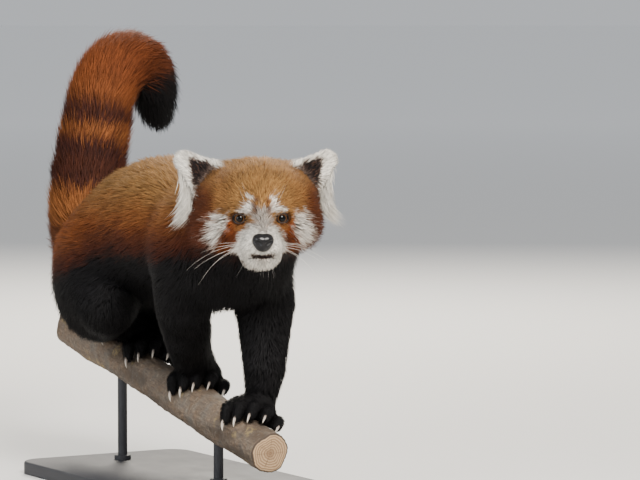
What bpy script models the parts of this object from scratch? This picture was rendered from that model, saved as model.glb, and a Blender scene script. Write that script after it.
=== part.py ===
"""A life-size red panda that walks down a short cut length of branch on a display stand, tail raised and curled.

It faces -Y and turns its head to its right. Metres, +Z up, origin at the middle of the base's underside. The coat is
one blended surface, parted into named pieces by thin cuts."""

import math

import bmesh
import bpy
import numpy as np
from mathutils import Matrix, Vector

GAP = 0.00035  # between pieces that touch
LEFT, RIGHT = 1, -1  # the animal's own sides, as signs of X

# Perch: a sloping cut branch. All places on the animal are measured from GRIP, a point on top of the perch
# between the right forefoot and the right hind foot.
GRIP = np.array((0.0, -0.060, 0.132))
PERCH_RADIUS = 0.026
PERCH_SLOPE = math.atan(0.208)
PERCH_FRONT, PERCH_REAR = 0.196, -0.336  # along the perch from GRIP, forward positive
PERCH_SIDES = 14
PERCH_RINGS = 22

# Stand
BASE_SIZE = (0.236, 0.404, 0.016)
BASE_CORNER, BASE_EDGE = 0.030, 0.003
ROD_RADIUS = 0.006
ROD_PLACES = {"front": -0.120, "rear": 0.136}  # Y of each rod

# Head, in its own frame: X to the animal's left, -Y forward, Z up, origin between the cheeks
HEAD = np.array((-0.018, -0.192, 0.230))
HEAD_TURN = math.radians(-24)  # to the animal's right
EYE = np.array((0.0238, -0.0299, -0.0158))
EYE_RADIUS = 0.0080
EYE_AXIS = np.array((0.30, -0.95, 0.10)) / np.linalg.norm((0.30, -0.95, 0.10))
LID_RADIUS, LID_THICK = 0.0062, 0.0011
NOSE = np.array((0.0, -0.0626, -0.0408))
NOSE_RADII = (0.0108, 0.0096, 0.0108)
MOUTH = (
    ((0.0190, -0.0400, -0.0560), 0.0010), ((0.0110, -0.0535, -0.0588), 0.0016), ((0, -0.0585, -0.0592), 0.0019),
)
EAR_BASE = np.array((0.0570, 0.0200, 0.0270))
EAR_TIP = np.array((0.0930, 0.0330, 0.0560))
EAR_BASE_RADIUS, EAR_TIP_RADIUS = 0.0240, 0.0115
EAR_THICK, EAR_CUP = 0.0062, 0.0110
EAR_REGION = (
    (0.036, 0.052), (0.072, 0.014), (0.077, -0.045), (0.125, -0.060), (0.125, 0.10), (0.036, 0.10),
)
HEAD_BACK, HEAD_BOTTOM = 0.044, -0.084  # where the head is parted from the neck and the breast

# How far the tips of the locks stand out from the dense coat under them
TORSO_COAT, NECK_COAT, TAIL_COAT, LEG_COAT, CHEEK_COAT = 0.011, 0.011, 0.016, 0.004, 0.008
LOCK_SUNK = 0.0045
# Groups of locks: how far apart their roots are, their length and half their width
LOCKS = {
    "tail": (0.0335, 0.063, 0.0195), "torso": (0.0535, 0.071, 0.0250), "leg": (0.0470, 0.046, 0.0165),
    "cheek": (0.0255, 0.030, 0.0115),
}
EAR_LOCKS = 6  # on the outer edge of each ear
SEED = 5

# Torso and haunches: centre and half sizes from GRIP
CHEST = ((0, -0.065, 0.178), (0.072, 0.080, 0.070))
BREAST = ((0, -0.108, 0.168), (0.058, 0.045, 0.060))
BARREL = ((0, 0.066, 0.190), (0.083, 0.125, 0.085))
LOIN = ((0, 0.152, 0.160), (0.084, 0.092, 0.082))
RUMP = ((0, 0.215, 0.150), (0.068, 0.062, 0.068))
HAUNCH = ((0.056, 0.168, 0.116), (0.044, 0.072, 0.076))
SHOULDER = ((0.044, -0.070, 0.166), (0.040, 0.058, 0.070))

# Limbs: joints and radii from GRIP
FORELEGS = {
    "left": (
        ((0.056, -0.062, 0.150), 0.037), ((0.057, -0.074, 0.100), 0.037),
        ((0.048, -0.088, 0.065), 0.031), ((0.035, -0.112, 0.026), 0.026),
    ),
    "right": (
        ((-0.052, -0.066, 0.150), 0.037), ((-0.050, -0.062, 0.100), 0.033),
        ((-0.031, -0.038, 0.068), 0.030), ((-0.013, -0.012, 0.040), 0.026),
    ),
}
HINDLEGS = {
    "left": (
        ((0.058, 0.160, 0.115), 0.042), ((0.064, 0.150, 0.090), 0.036),
        ((0.036, 0.222, 0.080), 0.032), ((0.016, 0.250, 0.066), 0.023),
    ),
    "right": (
        ((-0.058, 0.150, 0.110), 0.042), ((-0.064, 0.112, 0.086), 0.036),
        ((-0.034, 0.168, 0.068), 0.027), ((-0.010, 0.158, 0.052), 0.019),
    ),
}
# How far along the perch each foot's own length of the coat runs
FOOT_SPANS = {
    "forefoot_left": (0.0675, 0.188), "forefoot_right": (-0.062, 0.067),
    "hindfoot_left": (-0.300, -0.1845), "hindfoot_right": (-0.184, -0.072),
}
# Feet on the perch: how far the ball of the foot is along it and across its top, the heading of the toes in
# degrees towards the animal's right, and the length from the ball back to the heel
FEET = {
    "forefoot_left": (0.124, 0.014, 34, 0.014),
    "forefoot_right": (-0.006, 0.010, 36, 0.014),
    "hindfoot_left": (-0.232, 0.012, 6, 0.034),
    "hindfoot_right": (-0.140, 0.012, 24, 0.030),
}
TOES = (-2, -1, 0, 1, 2)
TOE_SPREAD, TOE_REACH, TOE_RADIUS = 0.0130, 0.032, 0.0078
CLAW_LENGTH, CLAW_RADIUS = 0.0150, 0.0023
FOOT_TOP = 0.034  # height of the cut between leg and foot above the perch

# Tail: centreline from GRIP and radius with its fur
TAIL = (
    ((0.000, 0.245, 0.160), 0.038), ((0.004, 0.290, 0.143), 0.042), ((0.012, 0.322, 0.140), 0.044),
    ((0.019, 0.338, 0.165), 0.047), ((0.021, 0.340, 0.206), 0.049), ((0.025, 0.340, 0.245), 0.049),
    ((0.035, 0.340, 0.297), 0.047), ((0.043, 0.340, 0.338), 0.045), ((0.057, 0.340, 0.371), 0.044),
    ((0.080, 0.341, 0.386), 0.042), ((0.106, 0.342, 0.380), 0.038), ((0.120, 0.343, 0.358), 0.034),
    ((0.126, 0.344, 0.334), 0.030), ((0.128, 0.345, 0.316), 0.024),
)

# Outlines of the blocks that part the body: X and Z seen from the front, or Y and Z from the side
TAIL_TIP_REGION = ((0.0925, 0.20), (0.30, 0.20), (0.30, 0.528), (0.0925, 0.348))
TAIL_ROOT_REGION = (
    (0.335, 0.0), (0.335, 0.088), (0.274, 0.116), (0.262, 0.146), (0.272, 0.180), (0.296, 0.200),
    (0.276, 0.228), (0.276, 0.60), (0.45, 0.60), (0.45, 0.0),
)
FORELEG_REGION = ((0.002, -0.05), (0.002, 0.098), (0.02, 0.104), (0.12, 0.160), (0.12, -0.05))
HINDLEG_REGION = ((0.006, -0.05), (0.006, 0.074), (0.022, 0.080), (0.12, 0.205), (0.12, -0.05))

COLOURS = {
    "rust": (0.42, 0.17, 0.06), "black": (0.025, 0.018, 0.016),
    "cream": (0.80, 0.74, 0.64), "tail": (0.38, 0.14, 0.05),
    "horn": (0.62, 0.55, 0.46), "nose": (0.02, 0.02, 0.022), "eye": (0.03, 0.016, 0.01),
    "bark": (0.22, 0.16, 0.12), "stand": (0.05, 0.05, 0.055),
}


def blob(p, centre, radii):
    """Distance of points p from an ellipsoid, near enough."""
    q = (p - np.array(centre)) / np.array(radii)
    far = np.linalg.norm(q, axis=1)
    return far * (far - 1) / np.maximum(np.linalg.norm(q / np.array(radii), axis=1), 1e-9)


def bone(p, start, end, start_radius, end_radius):
    """Distance of points p from a tapered rod with round ends."""
    start = np.array(start, float)
    run = np.array(end, float) - start
    share = np.clip((p - start) @ run / (run @ run), 0, 1)
    radius = start_radius + (end_radius - start_radius) * share
    return np.linalg.norm(p - start - share[:, None] * run, axis=1) - radius


def chain(p, joints):
    """Distance from rods that follow one another through ((x, y, z), radius) joints."""
    return np.minimum.reduce([bone(p, a, b, ra, rb) for (a, ra), (b, rb) in zip(joints, joints[1:])])


def fuse(one, other, soft):
    """Two distances made one, with a fillet of about this size."""
    share = np.clip(0.5 + 0.5 * (other - one) / soft, 0, 1)
    return other * (1 - share) + one * share - soft * share * (1 - share)


def carve(body, tool, soft):
    return -fuse(-body, tool, soft)


def on_perch(along, across, above):
    """The point this far along the perch from GRIP, round its surface to the left, and off it."""
    axis = np.array((0, -math.cos(PERCH_SLOPE), -math.sin(PERCH_SLOPE)))
    up = np.array((0, -math.sin(PERCH_SLOPE), math.cos(PERCH_SLOPE)))
    angle = across / PERCH_RADIUS
    out = up * math.cos(angle) + np.array((math.sin(angle), 0, 0))
    return axis * along - up * PERCH_RADIUS + out * (PERCH_RADIUS + above)


def head_turn():
    return np.array(Matrix.Rotation(HEAD_TURN, 3, "Z"))


def in_head(p):
    return (p - HEAD) @ head_turn()


def from_head(q):
    return np.array(q) @ head_turn().T + HEAD


def ear_axes():
    """Across, up and forward directions of the left ear in the head's frame."""
    up = (EAR_TIP - EAR_BASE) / np.linalg.norm(EAR_TIP - EAR_BASE)
    ahead = np.array((0.22, -0.95, 0.20))
    ahead = ahead - up * (ahead @ up)
    ahead /= np.linalg.norm(ahead)
    return np.cross(ahead, up), up, ahead


def ear(q):
    """Distance from the left ear, a rounded triangle bent into a cup that opens forward."""
    across, up, ahead = ear_axes()
    local = (q - EAR_BASE) @ np.array((across, up, ahead)).T
    reach = np.linalg.norm(EAR_TIP - EAR_BASE) - EAR_TIP_RADIUS
    flat = np.column_stack((local[:, 0], local[:, 1], np.zeros(len(local))))
    outline = bone(flat, (0, 0, 0), (0, reach, 0), EAR_BASE_RADIUS, EAR_TIP_RADIUS)
    width = EAR_BASE_RADIUS + (EAR_TIP_RADIUS - EAR_BASE_RADIUS) * np.clip(local[:, 1] / reach, 0, 1)
    cup = EAR_CUP * (np.clip(np.abs(local[:, 0]) / width, 0, 1) ** 2 - 1)
    cup = cup * np.clip(1.2 - local[:, 1] / reach, 0.1, 1)
    sheet = np.abs(local[:, 2] - cup) - EAR_THICK / 2
    return carve(sheet, -outline, 0.004)


def lids(half):
    """Distance from the left eye's lids: a thin round cover of the eyeball with an almond opening."""
    off = half - EYE
    across = np.cross(EYE_AXIS, (0, 0, 1))
    across /= np.linalg.norm(across)
    wide, high, ahead = off @ across, off @ np.cross(across, EYE_AXIS), off @ EYE_AXIS
    cover = np.abs(np.linalg.norm(off, axis=1) - EYE_RADIUS - 0.0002) - LID_THICK
    return carve(cover, np.where(ahead > 0, np.hypot(wide / 1.08, high / 0.90) - LID_RADIUS, 1.0), 0.0010)


def nose(q):
    """Distance from the bare nose pad, with its wings and comma-shaped nostrils."""
    half = np.column_stack((np.abs(q[:, 0]), q[:, 1], q[:, 2]))
    pad = blob(q, NOSE + (0, 0, -0.0006), NOSE_RADII)
    pad = fuse(pad, blob(half, NOSE + (0.0060, -0.0002, 0.0026), (0.0062, 0.0078, 0.0066)), 0.004)
    hole = bone(half, NOSE + (0.0048, -0.0100, -0.0016), NOSE + (0.0112, -0.0060, 0.0012), 0.0028, 0.0016)
    parting = bone(q, NOSE + (0, -0.0094, -0.0116), NOSE + (0, -0.0102, -0.0036), 0.0010, 0.0006)
    return carve(carve(pad, hole, 0.0012), parting, 0.0012)


def skull(q, lean=0.0):
    """Distance from the head without ears, in its own frame. Lean 1 leaves out the depth of the locks."""
    half = np.column_stack((np.abs(q[:, 0]), q[:, 1], q[:, 2]))
    d = blob(q, (0, 0.012, 0.008), (0.068, 0.058, 0.0345))
    d = fuse(d, blob(half, (0.040, 0.010, -0.026), (0.0375, 0.040, 0.033)) + lean * CHEEK_COAT, 0.022)
    d = fuse(d, bone(q, (0, -0.020, -0.036), (0, -0.043, -0.043), 0.031, 0.0210), 0.016)
    d = fuse(d, bone(q, (0, -0.016, 0.006), (0, -0.052, -0.032), 0.019, 0.0110), 0.016)
    d = fuse(d, blob(half, (0.0105, -0.0470, -0.0470), (0.0135, 0.0165, 0.0120)), 0.007)
    d = fuse(d, blob(q, (0, -0.031, -0.0590), (0.0245, 0.0245, 0.0150)), 0.008)
    d = carve(d, chain(half, MOUTH), 0.003)
    d = carve(d, bone(q, (0, -0.0640, -0.0575), (0, -0.0700, -0.0460), 0.0012, 0.0012), 0.003)
    d = carve(d, blob(half, EYE + (-0.0035, -0.0072, 0.0006), (0.0090, 0.0080, 0.0080)), 0.008)
    return fuse(d, lids(half), 0.0045)


def head(p, lean=0.0):
    q = in_head(p)
    half = np.column_stack((np.abs(q[:, 0]), q[:, 1], q[:, 2]))
    return fuse(skull(q, lean), ear(half), 0.008)


def neck(p):
    nape = from_head((0, 0.026, -0.004))
    return bone(p, nape, (0, -0.088, 0.178), 0.056, 0.068)


def torso(p):
    half = np.column_stack((np.abs(p[:, 0]), p[:, 1], p[:, 2]))
    d = blob(p, *CHEST)
    d = fuse(d, blob(p, *BREAST), 0.03)
    d = fuse(d, blob(p, *BARREL), 0.04)
    d = fuse(d, blob(p, *LOIN), 0.04)
    d = fuse(d, blob(p, *RUMP), 0.03)
    d = fuse(d, blob(half, *HAUNCH), 0.03)
    return fuse(d, blob(half, *SHOULDER), 0.03)


def foot_directions(name):
    """Unit steps (along, across) towards the toes and from the right toe to the left one."""
    heading = math.radians(FEET[name][2])
    ahead = np.array((math.cos(heading), -math.sin(heading)))
    side = np.array((math.sin(heading), math.cos(heading)))
    return ahead, side


def toe_joints(name, toe):
    """Where a toe leaves the foot, bends and ends, as points on the perch."""
    along, across, _, _ = FEET[name]
    ahead, side = foot_directions(name)
    reach = TOE_REACH - 0.0022 * toe * toe
    places = []
    for share, spread, above in ((0.2, 0.75, 0.013), (0.66, 0.95, 0.014), (1.0, 1.1, 0.0065)):
        at = np.array((along, across)) + ahead * reach * share + side * TOE_SPREAD * spread * toe
        places.append(on_perch(at[0], at[1], above))
    return places


def foot(p, name):
    along, across, _, heel = FEET[name]
    ahead, side = foot_directions(name)
    ball = on_perch(along, across, 0.011)
    back = np.array((along, across)) - ahead * heel
    d = bone(p, ball, on_perch(back[0], back[1], 0.012), 0.0175, 0.0165)
    for half in (-1, 1):
        at = np.array((along, across)) + side * 0.013 * half
        d = fuse(d, bone(p, on_perch(at[0], at[1], 0.010), ball, 0.0125, 0.0150), 0.008)
    for toe in TOES:
        a, b, c = toe_joints(name, toe)
        d = fuse(d, chain(p, ((a, TOE_RADIUS), (b, TOE_RADIUS * 1.05), (c, TOE_RADIUS * 0.86))), 0.0035)
    return d


def legs(p):
    """The four legs down to their feet, as a list of distances."""
    made = []
    for joints, kind in ((FORELEGS, "forefoot"), (HINDLEGS, "hindfoot")):
        for side in ("left", "right"):
            along, across, _, heel = FEET[f"{kind}_{side}"]
            ahead, _ = foot_directions(f"{kind}_{side}")
            back = np.array((along, across)) - ahead * heel * 0.8
            end = (tuple(on_perch(back[0], back[1], 0.014)), 0.017)
            made.append(chain(p, (*joints[side], end)))
    return made


def tail(p):
    return chain(p, smooth_line(TAIL, 3))


def smooth_line(joints, steps):
    """The joints with more between them, on a smooth curve through them all."""
    values = np.array([(*place, radius) for place, radius in joints])
    ends = np.vstack((2 * values[0] - values[1], values, 2 * values[-1] - values[-2]))
    rows = []
    for i in range(1, len(ends) - 2):
        for t in np.arange(steps) / steps:
            a, b, c, d = ends[i - 1 : i + 3]
            bend, twist = 2 * a - 5 * b + 4 * c - d, 3 * b - a - 3 * c + d
            rows.append(0.5 * (2 * b + (c - a) * t + bend * t**2 + twist * t**3))
    rows.append(values[-1])
    return [(tuple(row[:3]), row[3]) for row in rows]


def animal(p, lean=0.0):
    """Distance of points p from the animal, out to its locks' tips, or at lean 1 without them."""
    d = fuse(torso(p) + lean * TORSO_COAT, neck(p) + lean * NECK_COAT, 0.035)
    d = fuse(d, head(p, lean), 0.030)
    for leg in legs(p):
        d = fuse(d, leg + lean * LEG_COAT, 0.014)
    for name in FEET:
        d = fuse(d, foot(p, name), 0.006)
    return fuse(d, tail(p) + lean * TAIL_COAT, 0.014)


def core(p):
    return animal(p, 1.0)


def outward(p, field, step=0.001):
    """The direction in which a field grows at points p."""
    slope = np.stack([field(p + step * axis) - field(p - step * axis) for axis in np.eye(3)], axis=1)
    return slope / np.maximum(np.linalg.norm(slope, axis=1), 1e-9)[:, None]


def settled(p, field, height):
    """Points p moved to where the field has this value."""
    for _ in range(2):
        p = p + outward(p, field) * (height - field(p))[:, None]
    return p


def tail_lie(p):
    """Direction along the tail, towards its tip, at the part of it nearest to points p."""
    line = np.array([place for place, _ in TAIL])
    middle, run = (line[1:] + line[:-1]) / 2, np.diff(line, axis=0)
    nearest = np.argmin(np.linalg.norm(p[:, None] - middle[None], axis=2), axis=1)
    return run[nearest] / np.linalg.norm(run[nearest], axis=1)[:, None]


def lie(p):
    """The way the coat runs at points p: from the nose over the body, down the legs, out along the tail."""
    def weight(value, start, end):
        return np.clip((value - start) / (end - start), 0, 1)[:, None]

    flow = np.tile((0.0, 1.0, -0.40), (len(p), 1))
    for share, way in (
        (weight(p[:, 2], 0.150, 0.090), (0.0, 0.30, -1.0)),
        (weight(p[:, 1], -0.085, -0.125), (0.0, 0.25, -1.0)),
    ):
        flow = flow * (1 - share) + np.array(way) * share
    q = in_head(p)
    on_head = weight(skull(q) - torso(p), 0.004, -0.006)
    from_nose = (q - (0, -0.075, -0.030)) * (1, 1, 0.8) + (0, 0, -0.010)
    flow = flow * (1 - on_head) + (from_nose @ head_turn().T) / 0.08 * on_head
    on_tail = weight(tail(p) - torso(p), 0.004, -0.010)
    flow = flow * (1 - on_tail) + tail_lie(p) * on_tail
    return flow / np.linalg.norm(flow, axis=1)[:, None]


def filled_joints(value, small):
    """The grid's values, with a corner filled where two parts would meet only at an edge or a point."""
    for _ in range(6):
        inside = value < 0
        fill = np.zeros_like(inside)
        for one, two in ((0, 1), (0, 2), (1, 2)):
            far_one, far_two = np.roll(inside, -1, one), np.roll(inside, -1, two)
            both = np.roll(far_one, -1, two)
            fill |= ~inside & far_one & far_two & ~both
            fill |= np.roll(inside & ~far_one & ~far_two & both, 1, one)
        ends = {c: np.roll(inside, [-i for i in c], (0, 1, 2)) for c in np.ndindex(2, 2, 2)}
        count = sum(end.astype(int) for end in ends.values())
        for here in ((0, 0, 0), (0, 0, 1), (0, 1, 0), (0, 1, 1)):
            there = tuple(1 - i for i in here)
            bridge = ends[here] & ends[there] & (count == 2)
            fill |= np.roll(bridge, (there[0], here[1], here[2]), (0, 1, 2))
            fill |= np.roll(bridge, (there[0], there[1], here[2]), (0, 1, 2))
            fill |= np.roll(~ends[here] & ~ends[there] & (count == 6), here, (0, 1, 2))
        if not (fill & ~inside).any():
            break
        value[fill & ~inside] = -small
    return value


def surface_net(field, low, high, step):
    """A closed mesh of the surface where field is 0, on a grid in the box: (points, four-sided faces)."""
    axes = [np.arange(a, b + step, step) for a, b in zip(low, high)]
    shape = tuple(len(a) for a in axes)
    grid = np.stack(np.meshgrid(*axes, indexing="ij"), axis=-1).reshape(-1, 3)
    parts = np.array_split(grid, 1 + len(grid) // 60000)
    value = np.concatenate([field(part) for part in parts]).reshape(shape)
    for axis in range(3):
        ends = np.moveaxis(value, axis, 0)
        ends[:2] = np.maximum(ends[:2], step)
        ends[-2:] = np.maximum(ends[-2:], step)
    value = filled_joints(value, 0.05 * step)
    corners = [np.array(c) for c in np.ndindex(2, 2, 2)]
    cut = [value[tuple(slice(c[i], shape[i] - 1 + c[i]) for i in range(3))] for c in corners]
    inside = np.stack([c < 0 for c in cut])
    cells = np.argwhere(inside.any(0) & ~inside.all(0))
    number = -np.ones(tuple(n - 1 for n in shape), int)
    number[tuple(cells.T)] = np.arange(len(cells))
    total = np.zeros((len(cells), 3))
    count = np.zeros(len(cells))
    for i, a in enumerate(corners):
        for j, b in enumerate(corners):
            if j <= i or np.abs(a - b).sum() != 1:
                continue
            va, vb = cut[i][tuple(cells.T)], cut[j][tuple(cells.T)]
            crosses = (va < 0) != (vb < 0)
            share = np.where(crosses, va / np.where(crosses, va - vb, 1), 0)
            total += np.where(crosses[:, None], a + share[:, None] * (b - a), 0)
            count += crosses
    points = np.array(low) + (cells + total / count[:, None]) * step
    faces = []
    for axis in range(3):
        one, two = (axis + 1) % 3, (axis + 2) % 3
        near = np.take(value, range(shape[axis] - 1), axis) < 0
        far = np.take(value, range(1, shape[axis]), axis) < 0
        edges = np.argwhere(near != far)
        ring = []
        for back_one, back_two in ((1, 1), (0, 1), (0, 0), (1, 0)):
            cell = edges.copy()
            cell[:, one] -= back_one
            cell[:, two] -= back_two
            ring.append(number[tuple(cell.T)])
        ring = np.stack(ring, axis=1)
        turned = ~near[tuple(edges.T)]
        ring[turned] = ring[turned][:, ::-1]
        faces.append(ring)
    return points, np.concatenate(faces)


def mesh_object(name, points, faces):
    mesh = bpy.data.meshes.new(name)
    mesh.from_pydata(np.array(points).reshape(-1, 3).tolist(), [], [list(map(int, face)) for face in faces])
    obj = bpy.data.objects.new(name, mesh)
    bpy.context.scene.collection.objects.link(obj)
    return obj


def face_out(obj):
    work = bmesh.new()
    work.from_mesh(obj.data)
    bmesh.ops.recalc_face_normals(work, faces=work.faces)
    work.to_mesh(obj.data)
    work.free()


def apply_modifiers(obj):
    """The object's mesh becomes what its modifiers make of it."""
    bpy.context.view_layer.update()
    made = bpy.data.meshes.new_from_object(obj.evaluated_get(bpy.context.evaluated_depsgraph_get()))
    obj.modifiers.clear()
    old, obj.data = obj.data, made
    bpy.data.meshes.remove(old)


def thin_out(obj, triangles):
    """Fewer triangles, the most where the shape is finest."""
    have = sum(len(f.vertices) - 2 for f in obj.data.polygons)
    thin = obj.modifiers.new("fewer", "DECIMATE")
    thin.ratio = min(1, triangles / have)
    thin.use_collapse_triangulate = True
    apply_modifiers(obj)


def boolean(obj, other, operation):
    """Cuts obj with another object, or keeps what they share, and applies it."""
    step = obj.modifiers.new("cut", "BOOLEAN")
    step.object = other
    step.operation = operation
    step.solver = "MANIFOLD"
    apply_modifiers(obj)


def keep_largest(obj):
    """Drops every closed surface of the mesh but the largest."""
    work = bmesh.new()
    work.from_mesh(obj.data)
    groups, seen = [], set()
    for start in work.verts:
        if start in seen:
            continue
        group, front = {start}, [start]
        while front:
            for edge in front.pop().link_edges:
                for vert in edge.verts:
                    if vert not in group:
                        group.add(vert)
                        front.append(vert)
        seen |= group
        groups.append(group)
    largest = max(groups, key=len)
    bmesh.ops.delete(work, geom=[v for v in work.verts if v not in largest], context="VERTS")
    work.to_mesh(obj.data)
    work.free()


def copy_of(obj, name):
    made = obj.copy()
    made.data = obj.data.copy()
    made.name = name
    bpy.context.scene.collection.objects.link(made)
    return made


def remove(*objects):
    for obj in objects:
        bpy.data.objects.remove(obj)


def grown_outline(outline, by):
    """A flat outline moved outwards by a distance."""
    points = [Vector(p) for p in outline]
    area = sum(a.x * b.y - b.x * a.y for a, b in zip(points, points[1:] + points[:1]))
    sign = math.copysign(1, area)
    made = []
    for i, here in enumerate(points):
        before = (here - points[i - 1]).normalized()
        after = (points[(i + 1) % len(points)] - here).normalized()
        out = Vector((before.y + after.y, -before.x - after.x)) * sign
        out.normalize()
        half = max(0.3, out.dot(Vector((after.y, -after.x)) * sign))
        made.append(here + out * by / half)
    return made


def region(outline, origin, across, up, near, far, grow=0.0):
    """A closed block: an outline in the plane of across and up at origin, from near to far off it."""
    across, up, origin = Vector(across).normalized(), Vector(up).normalized(), Vector(origin)
    normal = across.cross(up)
    flat = grown_outline(outline, grow)
    rings = []
    for depth in (near - grow, far + grow):
        rings.append([origin + across * p.x + up * p.y + normal * depth for p in flat])
    n = len(flat)
    faces = [list(range(n))[::-1], list(range(n, 2 * n))]
    faces += [(i, (i + 1) % n, n + (i + 1) % n, n + i) for i in range(n)]
    obj = mesh_object("region", rings[0] + rings[1], faces)
    face_out(obj)
    return obj


def funnel(origin, axis, profile, grow=0.0):
    """A closed turned block that widens along its axis, from (along, radius) pairs."""
    origin, axis = Vector(origin), Vector(axis).normalized()
    side = axis.orthogonal().normalized()
    other = axis.cross(side)
    points, faces, n = [], [], 24
    for i, (along, radius) in enumerate(profile):
        along += grow if i == len(profile) - 1 else -grow
        for k in range(n):
            angle = math.tau * k / n
            way = side * math.cos(angle) + other * math.sin(angle)
            points.append(origin + axis * along + way * (radius + grow))
    for i in range(len(profile) - 1):
        for k in range(n):
            a, b = i * n + k, i * n + (k + 1) % n
            faces.append((a, b, b + n, a + n))
    faces.append(tuple(range(n))[::-1])
    faces.append(tuple(range(len(points) - n, len(points))))
    obj = mesh_object("funnel", points, faces)
    face_out(obj)
    return obj


def part_off(body, name, block):
    """Takes the part of body inside a block away as a node of its own. block(grow) makes the block."""
    piece = copy_of(body, name)
    tight, wider = block(0.0), block(GAP)
    boolean(piece, tight, "INTERSECT")
    boolean(body, wider, "DIFFERENCE")
    remove(tight, wider)
    keep_largest(piece)
    return piece


def box_outline(low, high):
    return ((low[0], low[1]), (high[0], low[1]), (high[0], high[1]), (low[0], high[1]))


def net_object(name, field, low, high, step, triangles, to_grip=None):
    points, faces = surface_net(field, low, high, step)
    if to_grip is not None:
        points = to_grip(points)
    obj = mesh_object(name, points, faces)
    thin_out(obj, triangles)
    return obj


def lock_object(centres, side, out, half_width):
    """A flat tapered lock of three-sided section through four centres, the last its tip."""
    points = []
    for centre, share in zip(centres, (0.75, 1.0, 0.70)):
        wide, thick = side * half_width * share, out * half_width * 0.13 * share
        points += [centre - wide - thick, centre + wide - thick, centre + thick * 1.8]
    points.append(centres[3])
    faces = [(0, 1, 2), (6, 9, 7), (7, 9, 8), (8, 9, 6)]
    for ring in (0, 3):
        for a, b in ((0, 1), (1, 2), (2, 0)):
            faces.append((ring + a, ring + 3 + a, ring + 3 + b, ring + b))
    obj = mesh_object("lock", points, faces)
    face_out(obj)
    return obj


def in_group(p, group):
    """Which of points p on the dense coat carry locks of a group."""
    q = in_head(p)
    on_tail = tail(p) < torso(p) - 0.012
    before_back = (q[:, 1] < HEAD_BACK + 0.008) & (q[:, 2] > HEAD_BOTTOM - 0.008) & (p[:, 1] < -0.09)
    if group == "tail":
        return on_tail & (p[:, 1] > 0.262)
    if group == "cheek":
        side = np.abs(q[:, 0])
        cheek = (side > 0.045) & (q[:, 2] < 0.004) & (q[:, 1] > -0.026)
        jaw = (q[:, 2] < -0.046) & (side > 0.020) & (q[:, 1] > -0.030)
        return (cheek | jaw) & (q[:, 1] < HEAD_BACK - 0.016) & (q[:, 2] > HEAD_BOTTOM + 0.008)
    low = p[:, 2] < 0.112
    body = ~on_tail & ~before_back & (p[:, 1] < 0.255)
    if group == "torso":
        return body & ~low
    return body & low & (p[:, 2] > 0.064)


def spaced(p, apart):
    """Some of points p, in their order, no two nearer than this."""
    kept = p[:1]
    for point in p[1:]:
        if np.min(np.linalg.norm(kept - point, axis=1)) > apart:
            kept = np.vstack((kept, point))
    return kept


def grown_locks(group):
    """The locks of a group, rooted evenly over the dense coat and laid along the coat."""
    apart, length, half_width = LOCKS[group]
    dice = np.random.default_rng(SEED)
    low, high = np.array((-0.125, -0.270, 0.050)), np.array((0.170, 0.395, 0.435))
    p = low + (high - low) * dice.random((60000, 3))
    p = p[np.abs(core(p)) < 0.012]
    p = settled(p, core, 0.0)
    p = spaced(p[in_group(p, group)], apart)
    centres = [settled(p, core, -LOCK_SUNK)]
    depth = core(p) - animal(p)
    depth = np.maximum(depth, 0.004)
    here = p
    for share, height in ((0.36, 0.36), (0.70, 0.72), (1.0, 1.0)):
        way = lie(here)
        normal = outward(here, core)
        way = way - normal * np.sum(way * normal, axis=1)[:, None]
        way /= np.maximum(np.linalg.norm(way, axis=1), 1e-6)[:, None]
        here = here + way * length * 0.34
        here = settled(here, core, depth * height)
        centres.append(here)
    made = []
    for i in range(len(p)):
        line = [centre[i] for centre in centres]
        along = line[2] - line[0]
        out = outward(np.array([line[1]]), core)[0]
        side = np.cross(along, out)
        side = side / np.linalg.norm(side)
        made.append(lock_object(line, side, out, half_width * dice.uniform(0.85, 1.15)))
    return made


def ear_locks():
    """The pale locks that hang from the outer edge of each ear."""
    across, up, _ = ear_axes()
    made = []
    for sign in (LEFT, RIGHT):
        for k in range(EAR_LOCKS):
            share = k / (EAR_LOCKS - 1)
            edge = EAR_BASE + up * (0.040 - 0.044 * share) - across * (0.0095 + 0.0095 * share)
            hang = np.array((0.003 + 0.013 * share, 0.002 + 0.005 * (k % 2), -0.034 - 0.006 * share))
            bends = ((-0.12, -0.12, -0.12), (0.4, 0.4, 0.33), (0.75, 0.75, 0.68), (1, 1, 1))
            line = [edge + hang * bend for bend in bends]
            line = [from_head(point * (sign, 1, 1)) for point in line]
            side = from_head((0.25 * sign, 1, 0)) - HEAD
            out = from_head((sign, -0.25, 0)) - HEAD
            made.append(lock_object(line, side / np.linalg.norm(side), out / np.linalg.norm(out), 0.0090))
    return made


def add_locks(shell, locks):
    """Joins locks to the dense coat they are rooted in."""
    group = bpy.data.collections.new("locks")
    for lock in locks:
        group.objects.link(lock)
        bpy.context.scene.collection.objects.unlink(lock)
    join = shell.modifiers.new("locks", "BOOLEAN")
    join.operand_type = "COLLECTION"
    join.collection = group
    join.operation = "UNION"
    join.solver = "MANIFOLD"
    apply_modifiers(shell)
    remove(*locks)
    bpy.data.collections.remove(group)
    keep_largest(shell)


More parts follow.
